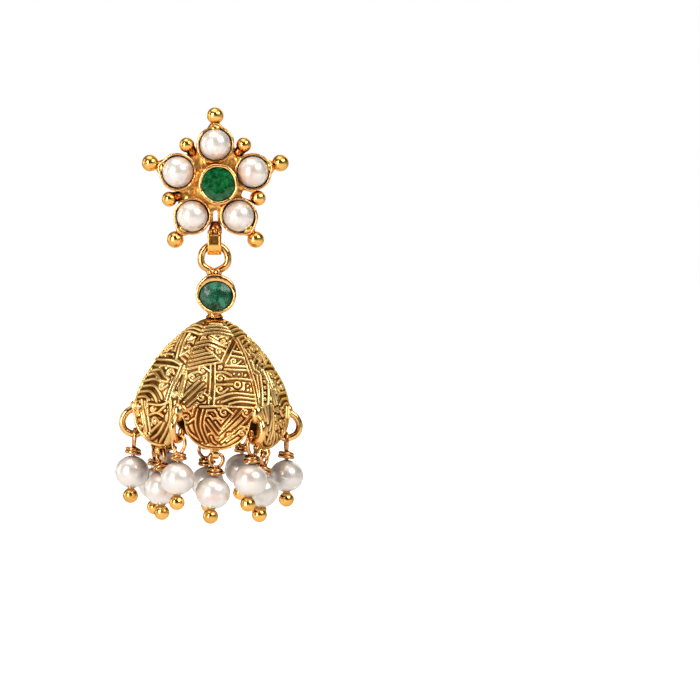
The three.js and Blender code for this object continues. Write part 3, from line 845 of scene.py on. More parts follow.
class JHUMKA_OT_star_setting(Operator):
    """Makes the star's plate, cups, balls and hanging strap"""

    bl_idname = "jhumka.star_setting"
    bl_label = "Star setting"

    def execute(self, context):
        star = context.scene.jhumka_star
        self.add("star_plate", [plate_shape()], "plate_gold", sharp=40)
        for k in range(STAR_POINTS):
            self.pearl_cup(star, k)
            self.tip_ball(star, k)
            self.valley_ball(star, k)
        cup = cup_shape(2.42, star.stone_radius + 0.02, 0.12, 1.4, 3.38, uneven=0.07, seed=4.2, sides=72)
        self.add("star_stone_cup", [moved(cup, star_front(star.stone_x, 0))], "lip_gold", sharp=50)
        self.add("hanging_strap", [strap_shape()], "ball_gold", sharp=50)
        bars, hollow = strap_frame()
        self.add("strap_frame", bars, "ball_gold", sharp=50)
        self.add("strap_hollow", hollow, "shade_gold", sharp=50)
        return {"FINISHED"}

    def add(self, name, shapes, finish, sharp=None):
        add_piece(name, shapes, finish, STUD, ["star_setting"], sharp)

    def pearl_cup(self, star, k):
        inner = star.pearl_radius + 0.07
        cup = cup_shape(star.cup_radius, inner, 0.12, 0.75, 1.85, point=0.3, uneven=0.075, seed=k * 1.9)
        x, z = on_star(star.pearl_ring, STAR_STEP * k)
        self.add(f"pearl_cup_{k + 1}", [moved(cup, star_front(x, z, STAR_STEP * k))], "lip_gold", sharp=50)

    def tip_ball(self, star, k):
        """The ball at a tip and its flared neck."""
        tip = STAR_STEP * k
        x, z = on_star(star.tip_distance, tip)
        ball = shifted(ball_shape(star.tip_ball), x, BALL_Y, z)
        x, z = on_star(6.55, tip)
        flare = rounded([(0, 0), (0.98, 0), (0.86, 0.4), (0.5, 0.8), (0.42, 1.2), (0, 1.2)], 0.2)
        outward = Matrix.Translation((x, -0.95, z)) @ Matrix.Rotation(math.radians(tip), 4, "Y")
        self.add(f"tip_ball_{k + 1}", [ball, moved(lathe(flare, 28), outward)], "ball_gold")

    def valley_ball(self, star, k):
        """The ball between two tips, and its neck with a bead in darker gold as painted shade; the lowest
        ball is in painted shade too.
        """
        valley = STAR_STEP * (k + 0.5)
        # The two lower openings of the plate stay clear, so the balls beside them have shorter necks.
        lowest, beside_opening = k == 2, k in (1, 2)
        x, z = on_star(5.4 if beside_opening else star.valley_distance, valley)
        ball = shifted(ball_shape(0.78 if lowest else star.valley_ball), x, BALL_Y, z)
        x, z = on_star(5.3 if beside_opening else 5.2, valley + 2)
        bead = shifted(ball_shape(0.45 if beside_opening else 0.52, 18, 12), x, -0.75, z)
        start = 5.0 if beside_opening else 4.75
        path = [on_star(distance, valley) for distance in np.linspace(start, 5.6, 3)]
        neck = tube([(x, -0.6, z) for x, z in path], 0.6)
        self.add(f"valley_ball_{k + 1}", [ball], "shade_gold" if lowest else "ball_gold")
        self.add(f"valley_neck_{k + 1}", [bead, neck], "shade_gold")


class JHUMKA_OT_star_pearls(Operator):
    """Makes the five half pearls of the star"""

    bl_idname = "jhumka.star_pearls"
    bl_label = "Star pearls"

    def execute(self, context):
        star = context.scene.jhumka_star
        radius, centre, back = star.pearl_radius, 1.45, 0.8
        angles = np.linspace(math.acos((centre - back) / radius), math.pi, 22)
        profile = [(0, back)]
        profile += [(reach, centre + height) for reach, height in arc_profile(radius, radius, angles)]
        profile[-1] = (0, centre + radius)
        for k in range(STAR_POINTS):
            x, z = on_star(star.pearl_ring, STAR_STEP * k)
            placed = moved(lathe(profile, 44), star_front(x, z))
            add_piece(f"half_pearl_{k + 1}", [placed], "pearl", STUD, [f"star_pearl_{k + 1}"])
        return {"FINISHED"}


def cut_stone(radius, table, crown, girdle, depth):
    """A round brilliant-like cut about Z: table, star, kite and girdle facets, and a pavilion to a point."""
    eighth = math.pi / 4
    rings = [
        (radius * table, crown, 8, 0.0),
        (radius * 0.8, crown * 0.55, 8, 0.5),
        (radius, girdle, 16, 0.0),
        (radius, -girdle, 16, 0.0),
        (radius * 0.42, -depth * 0.62, 8, 0.5),
    ]
    places, first = [], []
    for ring_radius, height, count, offset in rings:
        first.append(len(places))
        for k in range(count):
            angle = (k * 8 / count + offset) * eighth
            places.append((ring_radius * math.cos(angle), ring_radius * math.sin(angle), height))
    culet = len(places)
    places.append((0, 0, -depth))
    table_at, star_at, upper_at, lower_at, main_at = first
    faces = [[table_at + k for k in range(8)]]
    for k in range(8):
        after = (k + 1) % 8
        before = (k - 1) % 8
        faces.append([table_at + k, table_at + after, star_at + k])
        faces.append([table_at + k, star_at + k, upper_at + 2 * k, star_at + before])
        middle = 2 * k + 1
        faces.append([star_at + k, upper_at + 2 * k, upper_at + middle])
        faces.append([star_at + k, upper_at + middle, upper_at + (2 * k + 2) % 16])
        faces.append([main_at + k, lower_at + 2 * k, lower_at + middle])
        faces.append([main_at + k, lower_at + middle, lower_at + (2 * k + 2) % 16])
        faces.append([culet, main_at + before, lower_at + 2 * k, main_at + k])
    for k in range(16):
        after = (k + 1) % 16
        faces.append([upper_at + k, upper_at + after, lower_at + after, lower_at + k])
    return np.array(places), faces


class JHUMKA_OT_star_emerald(Operator):
    """Makes the round cut stone in the middle of the star"""

    bl_idname = "jhumka.star_emerald"
    bl_label = "Star stone"

    def execute(self, context):
        star = context.scene.jhumka_star
        stone = shifted(cut_stone(star.stone_radius, 0.6, 0.24, 0.05, 1.35), 0, 0, 3.12)
        placed = moved(stone, star_front(star.stone_x, 0, 12))
        add_piece("star_cut_stone", [placed], "star_stone", STUD, ["star_emerald"], sharp=1)
        return {"FINISHED"}


class JHUMKA_OT_ear_post(Operator):
    """Makes the plain post with its foot and nut"""

    bl_idname = "jhumka.ear_post"
    bl_label = "Ear post"

    def execute(self, context):
        profile = rounded(
            [
                (0, 0),
                (2.2, 0),
                (2.2, 0.4),
                (0.45, 0.42),
                (0.45, 6.2),
                (2.3, 6.2),
                (2.55, 6.45),
                (2.55, 7.6),
                (2.3, 7.85),
                (1.5, 7.85),
                (1.35, 8.35),
                (0.45, 8.4),
                (0.45, 9.8),
                (0.3, 10),
                (0, 10),
            ],
            0.15,
        )
        back = Matrix.Rotation(math.radians(-90), 4, "X")
        post = moved(lathe(profile, 48), back)
        add_piece("post_and_nut", [post], "star_gold", STUD, ["ear_post"], sharp=50)
        return {"FINISHED"}


class JHUMKA_OT_drop_setting(Operator):
    """Makes the link ring, the round cup and the neck above the bell"""

    bl_idname = "jhumka.drop_setting"
    bl_label = "Drop setting"

    def execute(self, context):
        ring_radius = 1.62
        points = []
        for k in range(9):
            angle = math.radians(-35 + 250 * k / 8)
            points.append((ring_radius * math.cos(angle), ring_radius * math.sin(angle) - ring_radius))
        points += [(-0.1, -3.24), (0.1, -3.24)]
        path = catmull([(HANG[0] + x, HANG[1], HANG[2] + z) for x, z in points], 90, True)
        self.add("link_ring", [tube(path, 0.42, 20, True)], "link_gold")
        bead = ball_shape(0.55, 20, 12)
        solder = [shifted(bead, HANG[0] + x, HANG[1] - 0.1, -10.55) for x in (-0.45, 0.35)]
        self.add("ring_solder", solder, "lip_gold")
        self.add("drop_cup", [self.cup()], "lip_gold", sharp=60)
        self.add("bell_neck", [self.neck(), *self.leaf()], "link_gold", sharp=60)
        return {"FINISHED"}

    def add(self, name, shapes, finish, sharp=None):
        add_piece(name, shapes, finish, PENDANT, ["drop_setting"], sharp)

    def leaf(self):
        """Two crossed wires and a bead, curled round the front and back of the neck."""
        shapes = []
        for side in (-1, 1):
            for lead in (-1, 1):
                path = [
                    (HANG[0] - 0.85 * lead, HANG[1] + 0.1 * side, -15.95),
                    (HANG[0] - 0.35 * lead, HANG[1] + 0.75 * side, -15.75),
                    (HANG[0] + 0.35 * lead, HANG[1] + 0.8 * side, -15.5),
                    (HANG[0] + 0.75 * lead, HANG[1] + 0.4 * side, -15.35),
                ]
                shapes.append(tube(catmull(path, 14), 0.2, 10))
            shapes.append(shifted(ball_shape(0.3, 16, 10), HANG[0], HANG[1] + 0.85 * side, -15.85))
        return shapes

    def cup(self):
        """The bezel's mouth is an oval that sits low in a round cup, so its lip is widest above."""
        places, faces = cup_shape(2.42, 1.95, -1.15, 0.6, 1.5, uneven=0.06, seed=2.0, sides=72)
        radius = np.hypot(places[:, 0], places[:, 1])
        inside = 1 - smoothstep(2.0, 2.3, radius)
        places[:, 1] = places[:, 1] * (1 - 0.1 * inside) - 0.2 * inside * smoothstep(-0.5, 0.6, places[:, 2])
        return moved((places, faces), Matrix.Translation((0.05, HANG[1], -13.14)) @ TO_FRONT)

    def neck(self):
        profile = rounded(
            [
                (0, -15.25),
                (0.95, -15.25),
                (0.8, -15.6),
                (1.15, -15.93),
                (0.45, -15.96),
                (0.45, -17.0),
                (1.0, -17.15),
                (0.7, -17.55),
                (0, -17.6),
            ],
            0.12,
        )
        return shifted(lathe(profile, 32), HANG[0], HANG[1], 0)


class JHUMKA_OT_drop_emerald(Operator):
    """Makes the oval stone of the drop"""

    bl_idname = "jhumka.drop_emerald"
    bl_label = "Drop stone"

    def execute(self, context):
        places, faces = cut_stone(1.0, 0.5, 0.52, 0.08, 0.75)
        place = Matrix.Translation((0.05, HANG[1] - 1.36, -13.36)) @ TO_FRONT
        stone = moved((places * np.array([1.93, 1.7, 1.0]), faces), place)
        add_piece("drop_cut_stone", [stone], "drop_stone", PENDANT, ["drop_emerald"], sharp=1)
        return {"FINISHED"}


class Gore:
    """One of the bell's six curved panels, from the crown to its petal's edge."""

    HALF_ANGLE = math.pi / PETALS

    def __init__(self):
        ridge = catmull(BELL_RIDGE, 400)
        self.ridge_z = ridge[::-1, 1]
        self.ridge_r = ridge[::-1, 0]
        depths = np.linspace(0, BELL_TOP_Z - PETAL_TIP_Z + 0.3, 600)
        middle = self.radius(BELL_TOP_Z - depths, np.zeros_like(depths))
        steps = np.hypot(np.diff(middle), np.diff(depths))
        self.depths = depths
        self.lengths = np.concatenate([[0], np.cumsum(steps)])

    def radius(self, z, u):
        """The wall's outer radius at a height and a share across the gore, from -1 to 1."""
        ridge = np.interp(z, self.ridge_z, self.ridge_r)
        depth = np.clip((BELL_TOP_Z - z) / (BELL_TOP_Z - NOTCH_TOP_Z), 0, 1)
        return ridge * (1 - BELL_FLATNESS * depth * (1 - u * u))

    def edge(self, u):
        """The petal's edge height across the gore."""
        share = np.abs(u)
        petal = np.sqrt(1 - np.minimum(1, (share / PETAL_SIDE) ** 2.6))
        across = np.clip((1 - share) / (1 - PETAL_SIDE), 0, 1)
        notch = np.sqrt(1 - across**2)
        return np.where(
            share <= PETAL_SIDE,
            NOTCH_FOOT_Z + (PETAL_TIP_Z - NOTCH_FOOT_Z) * petal,
            NOTCH_FOOT_Z + (NOTCH_TOP_Z - NOTCH_FOOT_Z) * notch,
        )

    def flat(self, u, z):
        """Millimetres across and down on the flattened gore."""
        across = u * self.HALF_ANGLE * self.radius(z, u)
        return np.stack([across, np.interp(BELL_TOP_Z - z, self.depths, self.lengths)], axis=-1)

    def columns(self, count):
        """Shares across the gore, closer together where the petal's edge is steep."""
        u = np.linspace(-1, 1, 2001)
        places = np.stack([u * 9, self.edge(u)], axis=1)
        travelled = np.concatenate([[0], np.cumsum(np.linalg.norm(np.diff(places, axis=0), axis=1))])
        mixed = 0.55 * (u + 1) / 2 + 0.45 * travelled / travelled[-1]
        return np.interp(np.linspace(0, 1, count + 1), mixed, u)


# The ornament is drawn on each gore as shares across it, from -1 to 1, and millimetres below the bell's top.
# Every gore has the crown's arcs, the line of its ridges and a border along the petal's edge.
CROWN_LINES = [
    [(-0.9, 0.4), (0.1, 0.25), (0.9, 0.4)],
    [(-0.95, 1.1), (-0.3, 0.9), (0.3, 0.9), (0.95, 1.1)],
    [(-0.97, 1.5), (-0.3, 1.28), (0.3, 1.28), (0.97, 1.5)],
    [(-1, 1.92), (-0.3, 1.68), (0.3, 1.68), (1, 1.92)],
]

# The front gore: a slanted double bar, a triangle of scrolls, a central double bar and a wide arched petal.
FRONT_BARS = [
    [(0.84, 2.5), (0.14, 5.05)],
    [(0.98, 2.9), (0.28, 5.4)],
    [(-0.24, 5.75), (-0.24, 10.3)],
    [(-0.1, 5.6), (-0.1, 10.5)],
    [(-0.5, 3.6), (0.1, 5.1)],
    [(-0.96, 6.25), (-0.4, 5.65), (0.15, 5.25)],
    [(-0.95, 5.75), (-0.45, 5.2), (0.02, 4.9)],
    [(-0.94, 5.25), (-0.45, 4.75), (-0.08, 4.5)],
    [(-0.94, 4.75), (-0.5, 4.3), (-0.18, 4.1)],
    [(-0.94, 4.25), (-0.55, 3.9)],
    [(0.25, 5.65), (0.98, 5.75)],
    [(0.22, 6.1), (0.98, 6.2)],
    [(-0.1, 8.0), (0.42, 7.9)],
    [(-0.55, 7.6), (-0.93, 9.6)],
    [(-0.42, 7.9), (-0.88, 10.3)],
    [(-0.34, 8.7), (-0.78, 10.7)],
    [(-0.46, 10.75), (0.1, 10.6), (0.98, 10.75)],
    [(-0.25, 12.3), (0.05, 14.1), (0.66, 10.95)],
    [(-0.06, 12.6), (0.1, 13.5), (0.48, 11.1)],
    [(0.14, 15.2), (0.86, 11.5)],
    [(0.28, 15.0), (0.9, 12.3)],
]
FRONT_CURVES = [
    [(-1, 3.1), (-0.3, 2.75), (0.4, 3.4)],
    [(-1, 3.65), (-0.35, 3.2), (0.3, 3.95)],
    [(-0.45, 2.3), (-0.1, 2.7), (0.15, 3.05)],
    [(0.62, 3.9), (0.98, 4.1)],
    [(0.48, 4.45), (0.98, 4.7)],
    [(-0.62, 6.5), (-0.85, 6.9), (-0.95, 7.7)],
    [(-0.97, 6.6), (-0.94, 8.2), (-0.97, 9.9)],
    [(-0.05, 6.5), (0.2, 6.45), (0.42, 6.85)],
    [(0.2, 7.35), (0.55, 7.2), (0.98, 7.35)],
    [(-0.08, 9.75), (0.4, 9.0), (0.98, 9.2)],
    [(0.1, 10.1), (0.5, 9.5), (0.98, 9.7)],
    [(0.3, 10.3), (0.6, 10.0), (0.98, 10.2)],
    [(-0.52, 11.1), (-0.56, 13.0), (-0.42, 15.0)],
    [(-0.38, 11.1), (-0.44, 13.2), (-0.28, 15.2)],
    [(-0.78, 13.3), (-0.7, 14.1), (-0.5, 14.9)],
    [(-0.15, 14.5), (-0.1, 15.0), (0.0, 15.3)],
    [(0.45, 13.6), (0.62, 13.1), (0.78, 13.2)],
]
FRONT_SPIRALS = [
    (0.34, 2.75, 0.36, 1),
    (0.06, 3.95, 0.36, -1),
    (0.58, 5.15, 0.42, 1),
    (-0.5, 6.35, 0.42, -1),
    (-0.76, 7.2, 0.4, 1),
    (0.06, 7.2, 0.42, -1),
    (0.05, 8.55, 0.42, 1),
    (-0.44, 9.6, 0.5, -1),
    (-0.78, 12.2, 0.5, 1),
    (0.16, 11.4, 0.45, -1),
    (0.72, 11.35, 0.4, 1),
    (0.66, 13.9, 0.4, -1),
    (0.34, 14.2, 0.3, 1),
]
FRONT_RINGS = [
    (0.55, 7.95, 0.34),
    (0.5, 6.65, 0.1),
    (0.66, 6.7, 0.1),
    (0.86, 6.8, 0.12),
    (0.84, 8.1, 0.12),
    (0.82, 8.6, 0.12),
    (0.02, 11.0, 0.1),
]

# The two side gores are drawn as seen from the front, in sketch units to the right and down from a corner.
SKETCH_UNIT = 0.00957
SKETCH_CORNERS = {"left": (-9.72, -16.92), "right": (2.88, -16.92)}
SKETCH_TURNS = {"left": -60, "right": 60}
SKETCH_LOOKS_DOWN = math.sin(math.radians(2.8))

# The left gore: two leaning double bars with scrolls, a fan of arches, and a petal with a crossed bar.
LEFT_BARS = [
    [(640, 120), (565, 270), (515, 440)],
    [(692, 115), (622, 220), (565, 390)],
    [(565, 392), (730, 290)],
    [(515, 440), (575, 500)],
    [(290, 445), (470, 452), (565, 505)],
    [(270, 515), (400, 520), (530, 545)],
    [(560, 530), (500, 670), (440, 800), (395, 955)],
    [(605, 520), (540, 660), (480, 790), (432, 955)],
    [(120, 960), (150, 1150), (190, 1350)],
    [(180, 965), (192, 1150), (228, 1340)],
    [(190, 1000), (330, 1010), (440, 955)],
    [(342, 1220), (240, 1350)],
    [(300, 1110), (380, 1020)],
    [(440, 960), (442, 1200), (345, 1480)],
    [(492, 960), (485, 1200), (405, 1480)],
    [(545, 790), (550, 1000), (545, 1180)],
    [(595, 760), (603, 930)],
    [(652, 640), (645, 900)],
    [(700, 560), (690, 900)],
    [(600, 1000), (590, 1130)],
]
LEFT_CURVES = [
    [(600, 350), (690, 440), (712, 560)],
    [(650, 330), (735, 420), (748, 520)],
    [(480, 300), (430, 330), (400, 400)],
    [(360, 400), (420, 370), (480, 380)],
    [(240, 590), (330, 570), (370, 640), (420, 690)],
    [(200, 650), (270, 620), (330, 700), (410, 720)],
    [(160, 720), (260, 690), (330, 720)],
    [(140, 785), (240, 770), (300, 830), (345, 930)],
    [(110, 855), (200, 845), (255, 900), (285, 970)],
    [(80, 925), (150, 912), (205, 955)],
    [(200, 1140), (290, 1110), (360, 1150)],
    [(50, 1190), (80, 1280), (130, 1370)],
    [(375, 1230), (320, 1360), (250, 1440)],
    [(520, 1280), (500, 1380), (470, 1470)],
]
LEFT_SPIRALS = [
    (692, 165, 0.3, 1),
    (642, 280, 0.24, -1),
    (632, 570, 0.42, 1),
    (430, 605, 0.4, -1),
    (345, 770, 0.4, 1),
    (490, 880, 0.28, -1),
    (75, 1045, 0.34, 1),
    (72, 1140, 0.3, -1),
    (240, 1062, 0.28, 1),
    (268, 1215, 0.4, -1),
    (512, 1215, 0.32, 1),
    (115, 1290, 0.24, 1),
]
LEFT_RINGS = [
    (330, 545, 0.12),
    (400, 548, 0.1),
    (288, 672, 0.12),
    (382, 1080, 0.1),
    (760, 330, 0.12),
    (610, 640, 0.1),
]

# The right gore: leaves beside a beaded bar, scrolls over scales, and a petal of close upright lines.
RIGHT_BARS = [
    [(190, 170), (245, 265), (330, 480)],
    [(235, 200), (290, 320), (335, 440)],
    [(90, 290), (180, 375), (262, 430)],
    [(290, 560), (360, 720), (440, 970)],
    [(335, 560), (402, 740), (472, 960)],
    [(320, 498), (400, 490), (505, 520)],
    [(335, 570), (420, 560), (525, 580)],
    [(250, 640), (262, 820), (262, 1000)],
    [(345, 720), (345, 960)],
    [(240, 1010), (300, 1170)],
    [(280, 960), (330, 1170)],
    [(330, 970), (342, 1200)],
    [(382, 960), (372, 1290)],
    [(412, 1080), (402, 1400)],
    [(445, 1300), (440, 1500)],
    [(485, 1330), (492, 1530)],
    [(530, 1340), (532, 1500)],
    [(572, 1290), (560, 1440)],
    [(625, 1000), (602, 1190)],
    [(660, 1000), (650, 1140)],
]
RIGHT_CURVES = [
    [(120, 430), (150, 470), (165, 540)],
    [(150, 480), (190, 400), (262, 425), (205, 490)],
    [(195, 560), (232, 485), (312, 475), (285, 545)],
    [(190, 545), (222, 500), (272, 560), (242, 622)],
    [(330, 380), (380, 350), (420, 400)],
    [(340, 440), (400, 410), (450, 450)],
    [(455, 640), (520, 620), (580, 660)],
    [(490, 700), (540, 670), (600, 700)],
    [(468, 900), (515, 835), (640, 815)],
    [(512, 970), (560, 905), (660, 895)],
    [(560, 1010), (605, 960), (670, 955)],
    [(520, 1050), (560, 1110), (600, 1090)],
    [(430, 1200), (500, 1190), (560, 1250)],
]
RIGHT_SPIRALS = [
    (130, 165, 0.34, 1),
    (160, 290, 0.36, -1),
    (240, 572, 0.26, 1),
    (410, 602, 0.36, -1),
    (420, 690, 0.34, 1),
    (470, 800, 0.36, -1),
    (550, 745, 0.28, 1),
    (460, 1125, 0.3, 1),
    (472, 1255, 0.32, -1),
    (535, 1185, 0.28, 1),
]
RIGHT_RINGS = [(300, 690 + 70 * k, 0.16) for k in range(5)] + [(120, 330, 0.12), (510, 690, 0.1)]

ORNAMENTS = {
    "front": (FRONT_BARS, FRONT_CURVES, FRONT_SPIRALS, FRONT_RINGS),
    "left": (LEFT_BARS, LEFT_CURVES, LEFT_SPIRALS, LEFT_RINGS),
    "right": (RIGHT_BARS, RIGHT_CURVES, RIGHT_SPIRALS, RIGHT_RINGS),
}
# Half the width of a raised line, in millimetres.
LINE_WIDTH = 0.14
# How much narrower, on each side, the lines are where two gores meet, and how far down they go.
SEAM_NARROWING = 0.07
SEAM_LENGTH = 10.9
# A ring this small is a raised dot.
DOT_RADIUS = 0.2
# How far above the petal's edge its border line runs.
BORDER_INSET = 0.12
# The height of a line's repeats, as a share of the line's own.
ECHO_HEIGHT = 0.84
# The front gore's drawn depths are shortened by this share to fit its length.
FRONT_SHORTENING = 0.95
# The side gores' ornament is coarser, because it is seen at a slant.
SIDE_COARSENESS = 1.25
# Which ornament each gore carries, from the front towards +X.
GORE_ORNAMENTS = ["front", "right", "left", "front", "right", "left"]
# How red and dark the petals are on the front gores and on the side ones: partly a redder tone, partly
# painted shade.
PETAL_REDNESS = {"front": 0.72, "left": 0.3, "right": 0.3}
# The relief value where the wall is neither raised nor sunk, and the one that colours the plain inside.
GROUND_RELIEF = 0.3
INSIDE_RELIEF = 0.16
# The bell's inside is plain, so it needs few rows, and it narrows to this radius at the top, in millimetres.
INSIDE_ROWS = 34
INSIDE_RADIUS = 0.6


def polyline_distance(places, line):
    """The distance of each place to a polyline, on the flattened gore."""
    nearest = np.full(len(places), 1e9)
    for start, end in zip(line[:-1], line[1:]):
        along = end - start
        length = max(float(along @ along), 1e-9)
        share = np.clip((places - start) @ along / length, 0, 1)
        gap = places - start - share[:, None] * along
        nearest = np.minimum(nearest, np.einsum("ij,ij->i", gap, gap))
    return np.sqrt(nearest)


def spiral_line(centre, radius, direction):
    """A scroll that winds in by about a turn, with a short tail that leaves it."""
    turns = np.linspace(0, 1, 22)
    angles = direction * (0.6 + 2 * math.pi * 1.25 * turns)
    radii = radius * (1.3 - 1.15 * turns)
    scroll = centre + np.stack([radii * np.cos(angles), radii * np.sin(angles)], axis=1)
    leaving = scroll[0] - scroll[1]
    tail = scroll[0] + np.outer(np.linspace(4, 1, 4), leaving * 0.8)
    return np.vstack([tail, scroll])


def from_sketch(gore, name, points):
    """Where the points of a side gore's sketch lie on the gore: shares across it and depths below the top."""
    corner = SKETCH_CORNERS[name]
    turn = math.radians(SKETCH_TURNS[name])
    shares = np.linspace(-1, 1, 161)
    angles = turn + shares * gore.HALF_ANGLE
    found = []
    for right, down in points:
        x = corner[0] + right * SKETCH_UNIT
        seen = corner[1] - down * SKETCH_UNIT
        z = seen
        for _ in range(4):
            radii = gore.radius(np.full(161, z), shares)
            share = float(np.interp(x, radii * np.sin(angles), shares))
            toward = float(np.interp(share, shares, radii * np.cos(angles)))
            z = seen + toward * SKETCH_LOOKS_DOWN
        found.append((share, BELL_TOP_Z - z))
    return found


def ornament_relief(gore, u, z, name, pitch):
    """The ornament's height, from 0 to 1, at each place of a gore: lines, their echoes and the grooves."""
    places = gore.flat(u, z)
    bars, curves, spirals, rings = ORNAMENTS[name]
    sketched = name in SKETCH_CORNERS
    width = LINE_WIDTH
    if sketched:
        width *= SIDE_COARSENESS
        pitch *= SIDE_COARSENESS

    def flat_line(points, drawn=False):
        if drawn and sketched:
            points = from_sketch(gore, name, points)
        points = np.array(points, float)
        if drawn and not sketched:
            points[:, 1] *= FRONT_SHORTENING
        return gore.flat(points[:, 0], BELL_TOP_Z - points[:, 1])

    lines = [flat_line(catmull(points, 3 * len(points))) for points in CROWN_LINES]
    for points in bars:
        bent = len(points) > (2 if sketched else 3)
        lines.append(flat_line(catmull(points, 3 * len(points)) if bent else points, True))
    lines += [flat_line(catmull(points, 4 * len(points)), True) for points in curves]
    for across, depth, radius, direction in spirals:
        centre = flat_line([(across, depth)], True)[0]
        lines.append(spiral_line(centre, radius, direction))
    border = gore.columns(90)
    edge = gore.edge(border) + BORDER_INSET
    keep = edge < NOTCH_TOP_Z - 0.1
    lines.append(gore.flat(border[keep], edge[keep]))
    distance = np.full(len(places), 1e9)
    for line in lines:
        distance = np.minimum(distance, polyline_distance(places, line))
    for side in (-1, 1):
        depths = np.linspace(0, SEAM_LENGTH, 24)
        seam = flat_line(np.stack([np.full(24, side), depths], axis=1))
        distance = np.minimum(distance, polyline_distance(places, seam) + SEAM_NARROWING)
    for across, depth, radius in rings:
        centre = flat_line([(across, depth)], True)[0]
        out = np.linalg.norm(places - centre, axis=1)
        from_ring = np.abs(out - radius) if radius > DOT_RADIUS else np.maximum(out - radius * 0.5, 0)
        distance = np.minimum(distance, from_ring)
    # Each line repeats beside itself at the pitch until it meets its neighbours' repeats.
    from_line = np.abs((distance + pitch / 2) % pitch - pitch / 2)
    echo = np.where(distance < pitch / 2, 1.0, ECHO_HEIGHT)
    return (1 - smoothstep(width * 0.4, width * 1.2, from_line)) * echo


def gore_mesh(gore, sizes, turn, ornament):
    """A gore as a closed shell: ornamented outside, plain inside. Returns its shape and relief values."""
    u = gore.columns(sizes.columns)
    shoulder = NOTCH_TOP_Z + 0.6
    downward = np.linspace(0, 1, sizes.shoulder_rows, endpoint=False) ** 1.12
    first = BELL_TOP_Z + (shoulder - BELL_TOP_Z) * downward
    top = np.repeat(first[:, None], len(u), axis=1)
    share = np.linspace(0, 1, sizes.petal_rows + 1)[:, None]
    petal = shoulder + (gore.edge(u)[None, :] - shoulder) * share
    z = np.vstack([top, petal])
    across = np.repeat(u[None, :], len(z), axis=0)
    radius = gore.radius(z, across)
    angle = math.radians(turn) + across * gore.HALF_ANGLE
    out = np.stack([np.sin(angle), -np.cos(angle), np.zeros_like(angle)], axis=-1)
    outer = out * radius[..., None]
    outer[..., 2] = z

    # Normals of the plain wall; on the ridges they lie in the ridge's own plane, so that neighbours meet.
    step = 0.02
    slope = (gore.radius(z + step, across) - gore.radius(z - step, across)) / (2 * step)
    around = (gore.radius(z, across + step) - gore.radius(z, across - step)) / (2 * step * gore.HALF_ANGLE)
    side = np.stack([np.cos(angle), np.sin(angle), np.zeros_like(angle)], axis=-1)
    bend = (around / np.maximum(radius, 0.1) * (1 - smoothstep(0.9, 1.0, np.abs(across))))[..., None]
    normal = out - side * bend
    normal[..., 2] = -slope
    normal = unit(normal)

    relief = ornament_relief(gore, across.ravel(), z.ravel(), ornament, sizes.pitch).reshape(z.shape)
    crown = smoothstep(0.2, 0.9, BELL_TOP_Z - z)
    height = sizes.relief * (relief - GROUND_RELIEF) * crown
    raised = outer + normal * height[..., None]

    rows = np.unique(np.linspace(0, len(z) - 1, INSIDE_ROWS).astype(int))
    inner = outer[rows] - normal[rows] * sizes.wall
    reach = np.hypot(inner[..., 0], inner[..., 1])
    widened = np.maximum(reach, INSIDE_RADIUS) / np.maximum(reach, 1e-6)
    inner[..., :2] *= widened[..., None]
    inner[-1, :, 2] = outer[-1, :, 2]
    inner[0] = outer[0] - np.array([0, 0, sizes.wall])

    count = len(u)
    outer_faces = grid_faces(len(z), count, wrap_columns=False)
    inner_faces = grid_faces(len(rows), count, wrap_columns=False)
    inner_faces = [[corner + z.size for corner in face[::-1]] for face in inner_faces]
    rim = []
    last_outer, last_inner = (len(z) - 1) * count, z.size + (len(rows) - 1) * count
    for k in range(count - 1):
        rim.append([last_outer + k, last_outer + k + 1, last_inner + k + 1, last_inner + k])
        rim.append([k, z.size + k, z.size + k + 1, k + 1])
    sides = []
    for column in (0, count - 1):
        outline = [row * count + column for row in range(len(z))]
        outline += [z.size + row * count + column for row in range(len(rows))][::-1]
        sides.append(outline if column == 0 else outline[::-1])
    places = np.vstack([raised.reshape(-1, 3), inner.reshape(-1, 3)])
    inside = inner.size // 3
    shade = np.concatenate([relief.ravel(), np.full(inside, INSIDE_RELIEF)])
    # The petal zone, which takes a redder tone and painted shade.
    low = np.concatenate([smoothstep(NOTCH_TOP_Z + 1.3, NOTCH_TOP_Z + 0.3, z).ravel(), np.zeros(inside)])
    return (places, outer_faces + inner_faces + rim + sides), shade, low


class JHUMKA_OT_bell(Operator):
    """Makes the bell's six ornamented gores"""

    bl_idname = "jhumka.bell"
    bl_label = "Bell"

    def execute(self, context):
        sizes = context.scene.jhumka_bell
        gore = Gore()
        for k, ornament in enumerate(GORE_ORNAMENTS):
            shape, shade, low = gore_mesh(gore, sizes, 60 * k + BELL_TURN, ornament)
            piece = add_piece(
                f"bell_gore_{k + 1}",
                [moved(shape, bell_lean())],
                "bell",
                PENDANT,
                ["bell_dome"],
                sharp=75,
                attributes={"relief": shade, "petal": low * PETAL_REDNESS[ornament]},
            )
            if len(piece.data.vertices) != len(shade):
                raise RuntimeError("a gore lost some of its vertices")
        return {"FINISHED"}


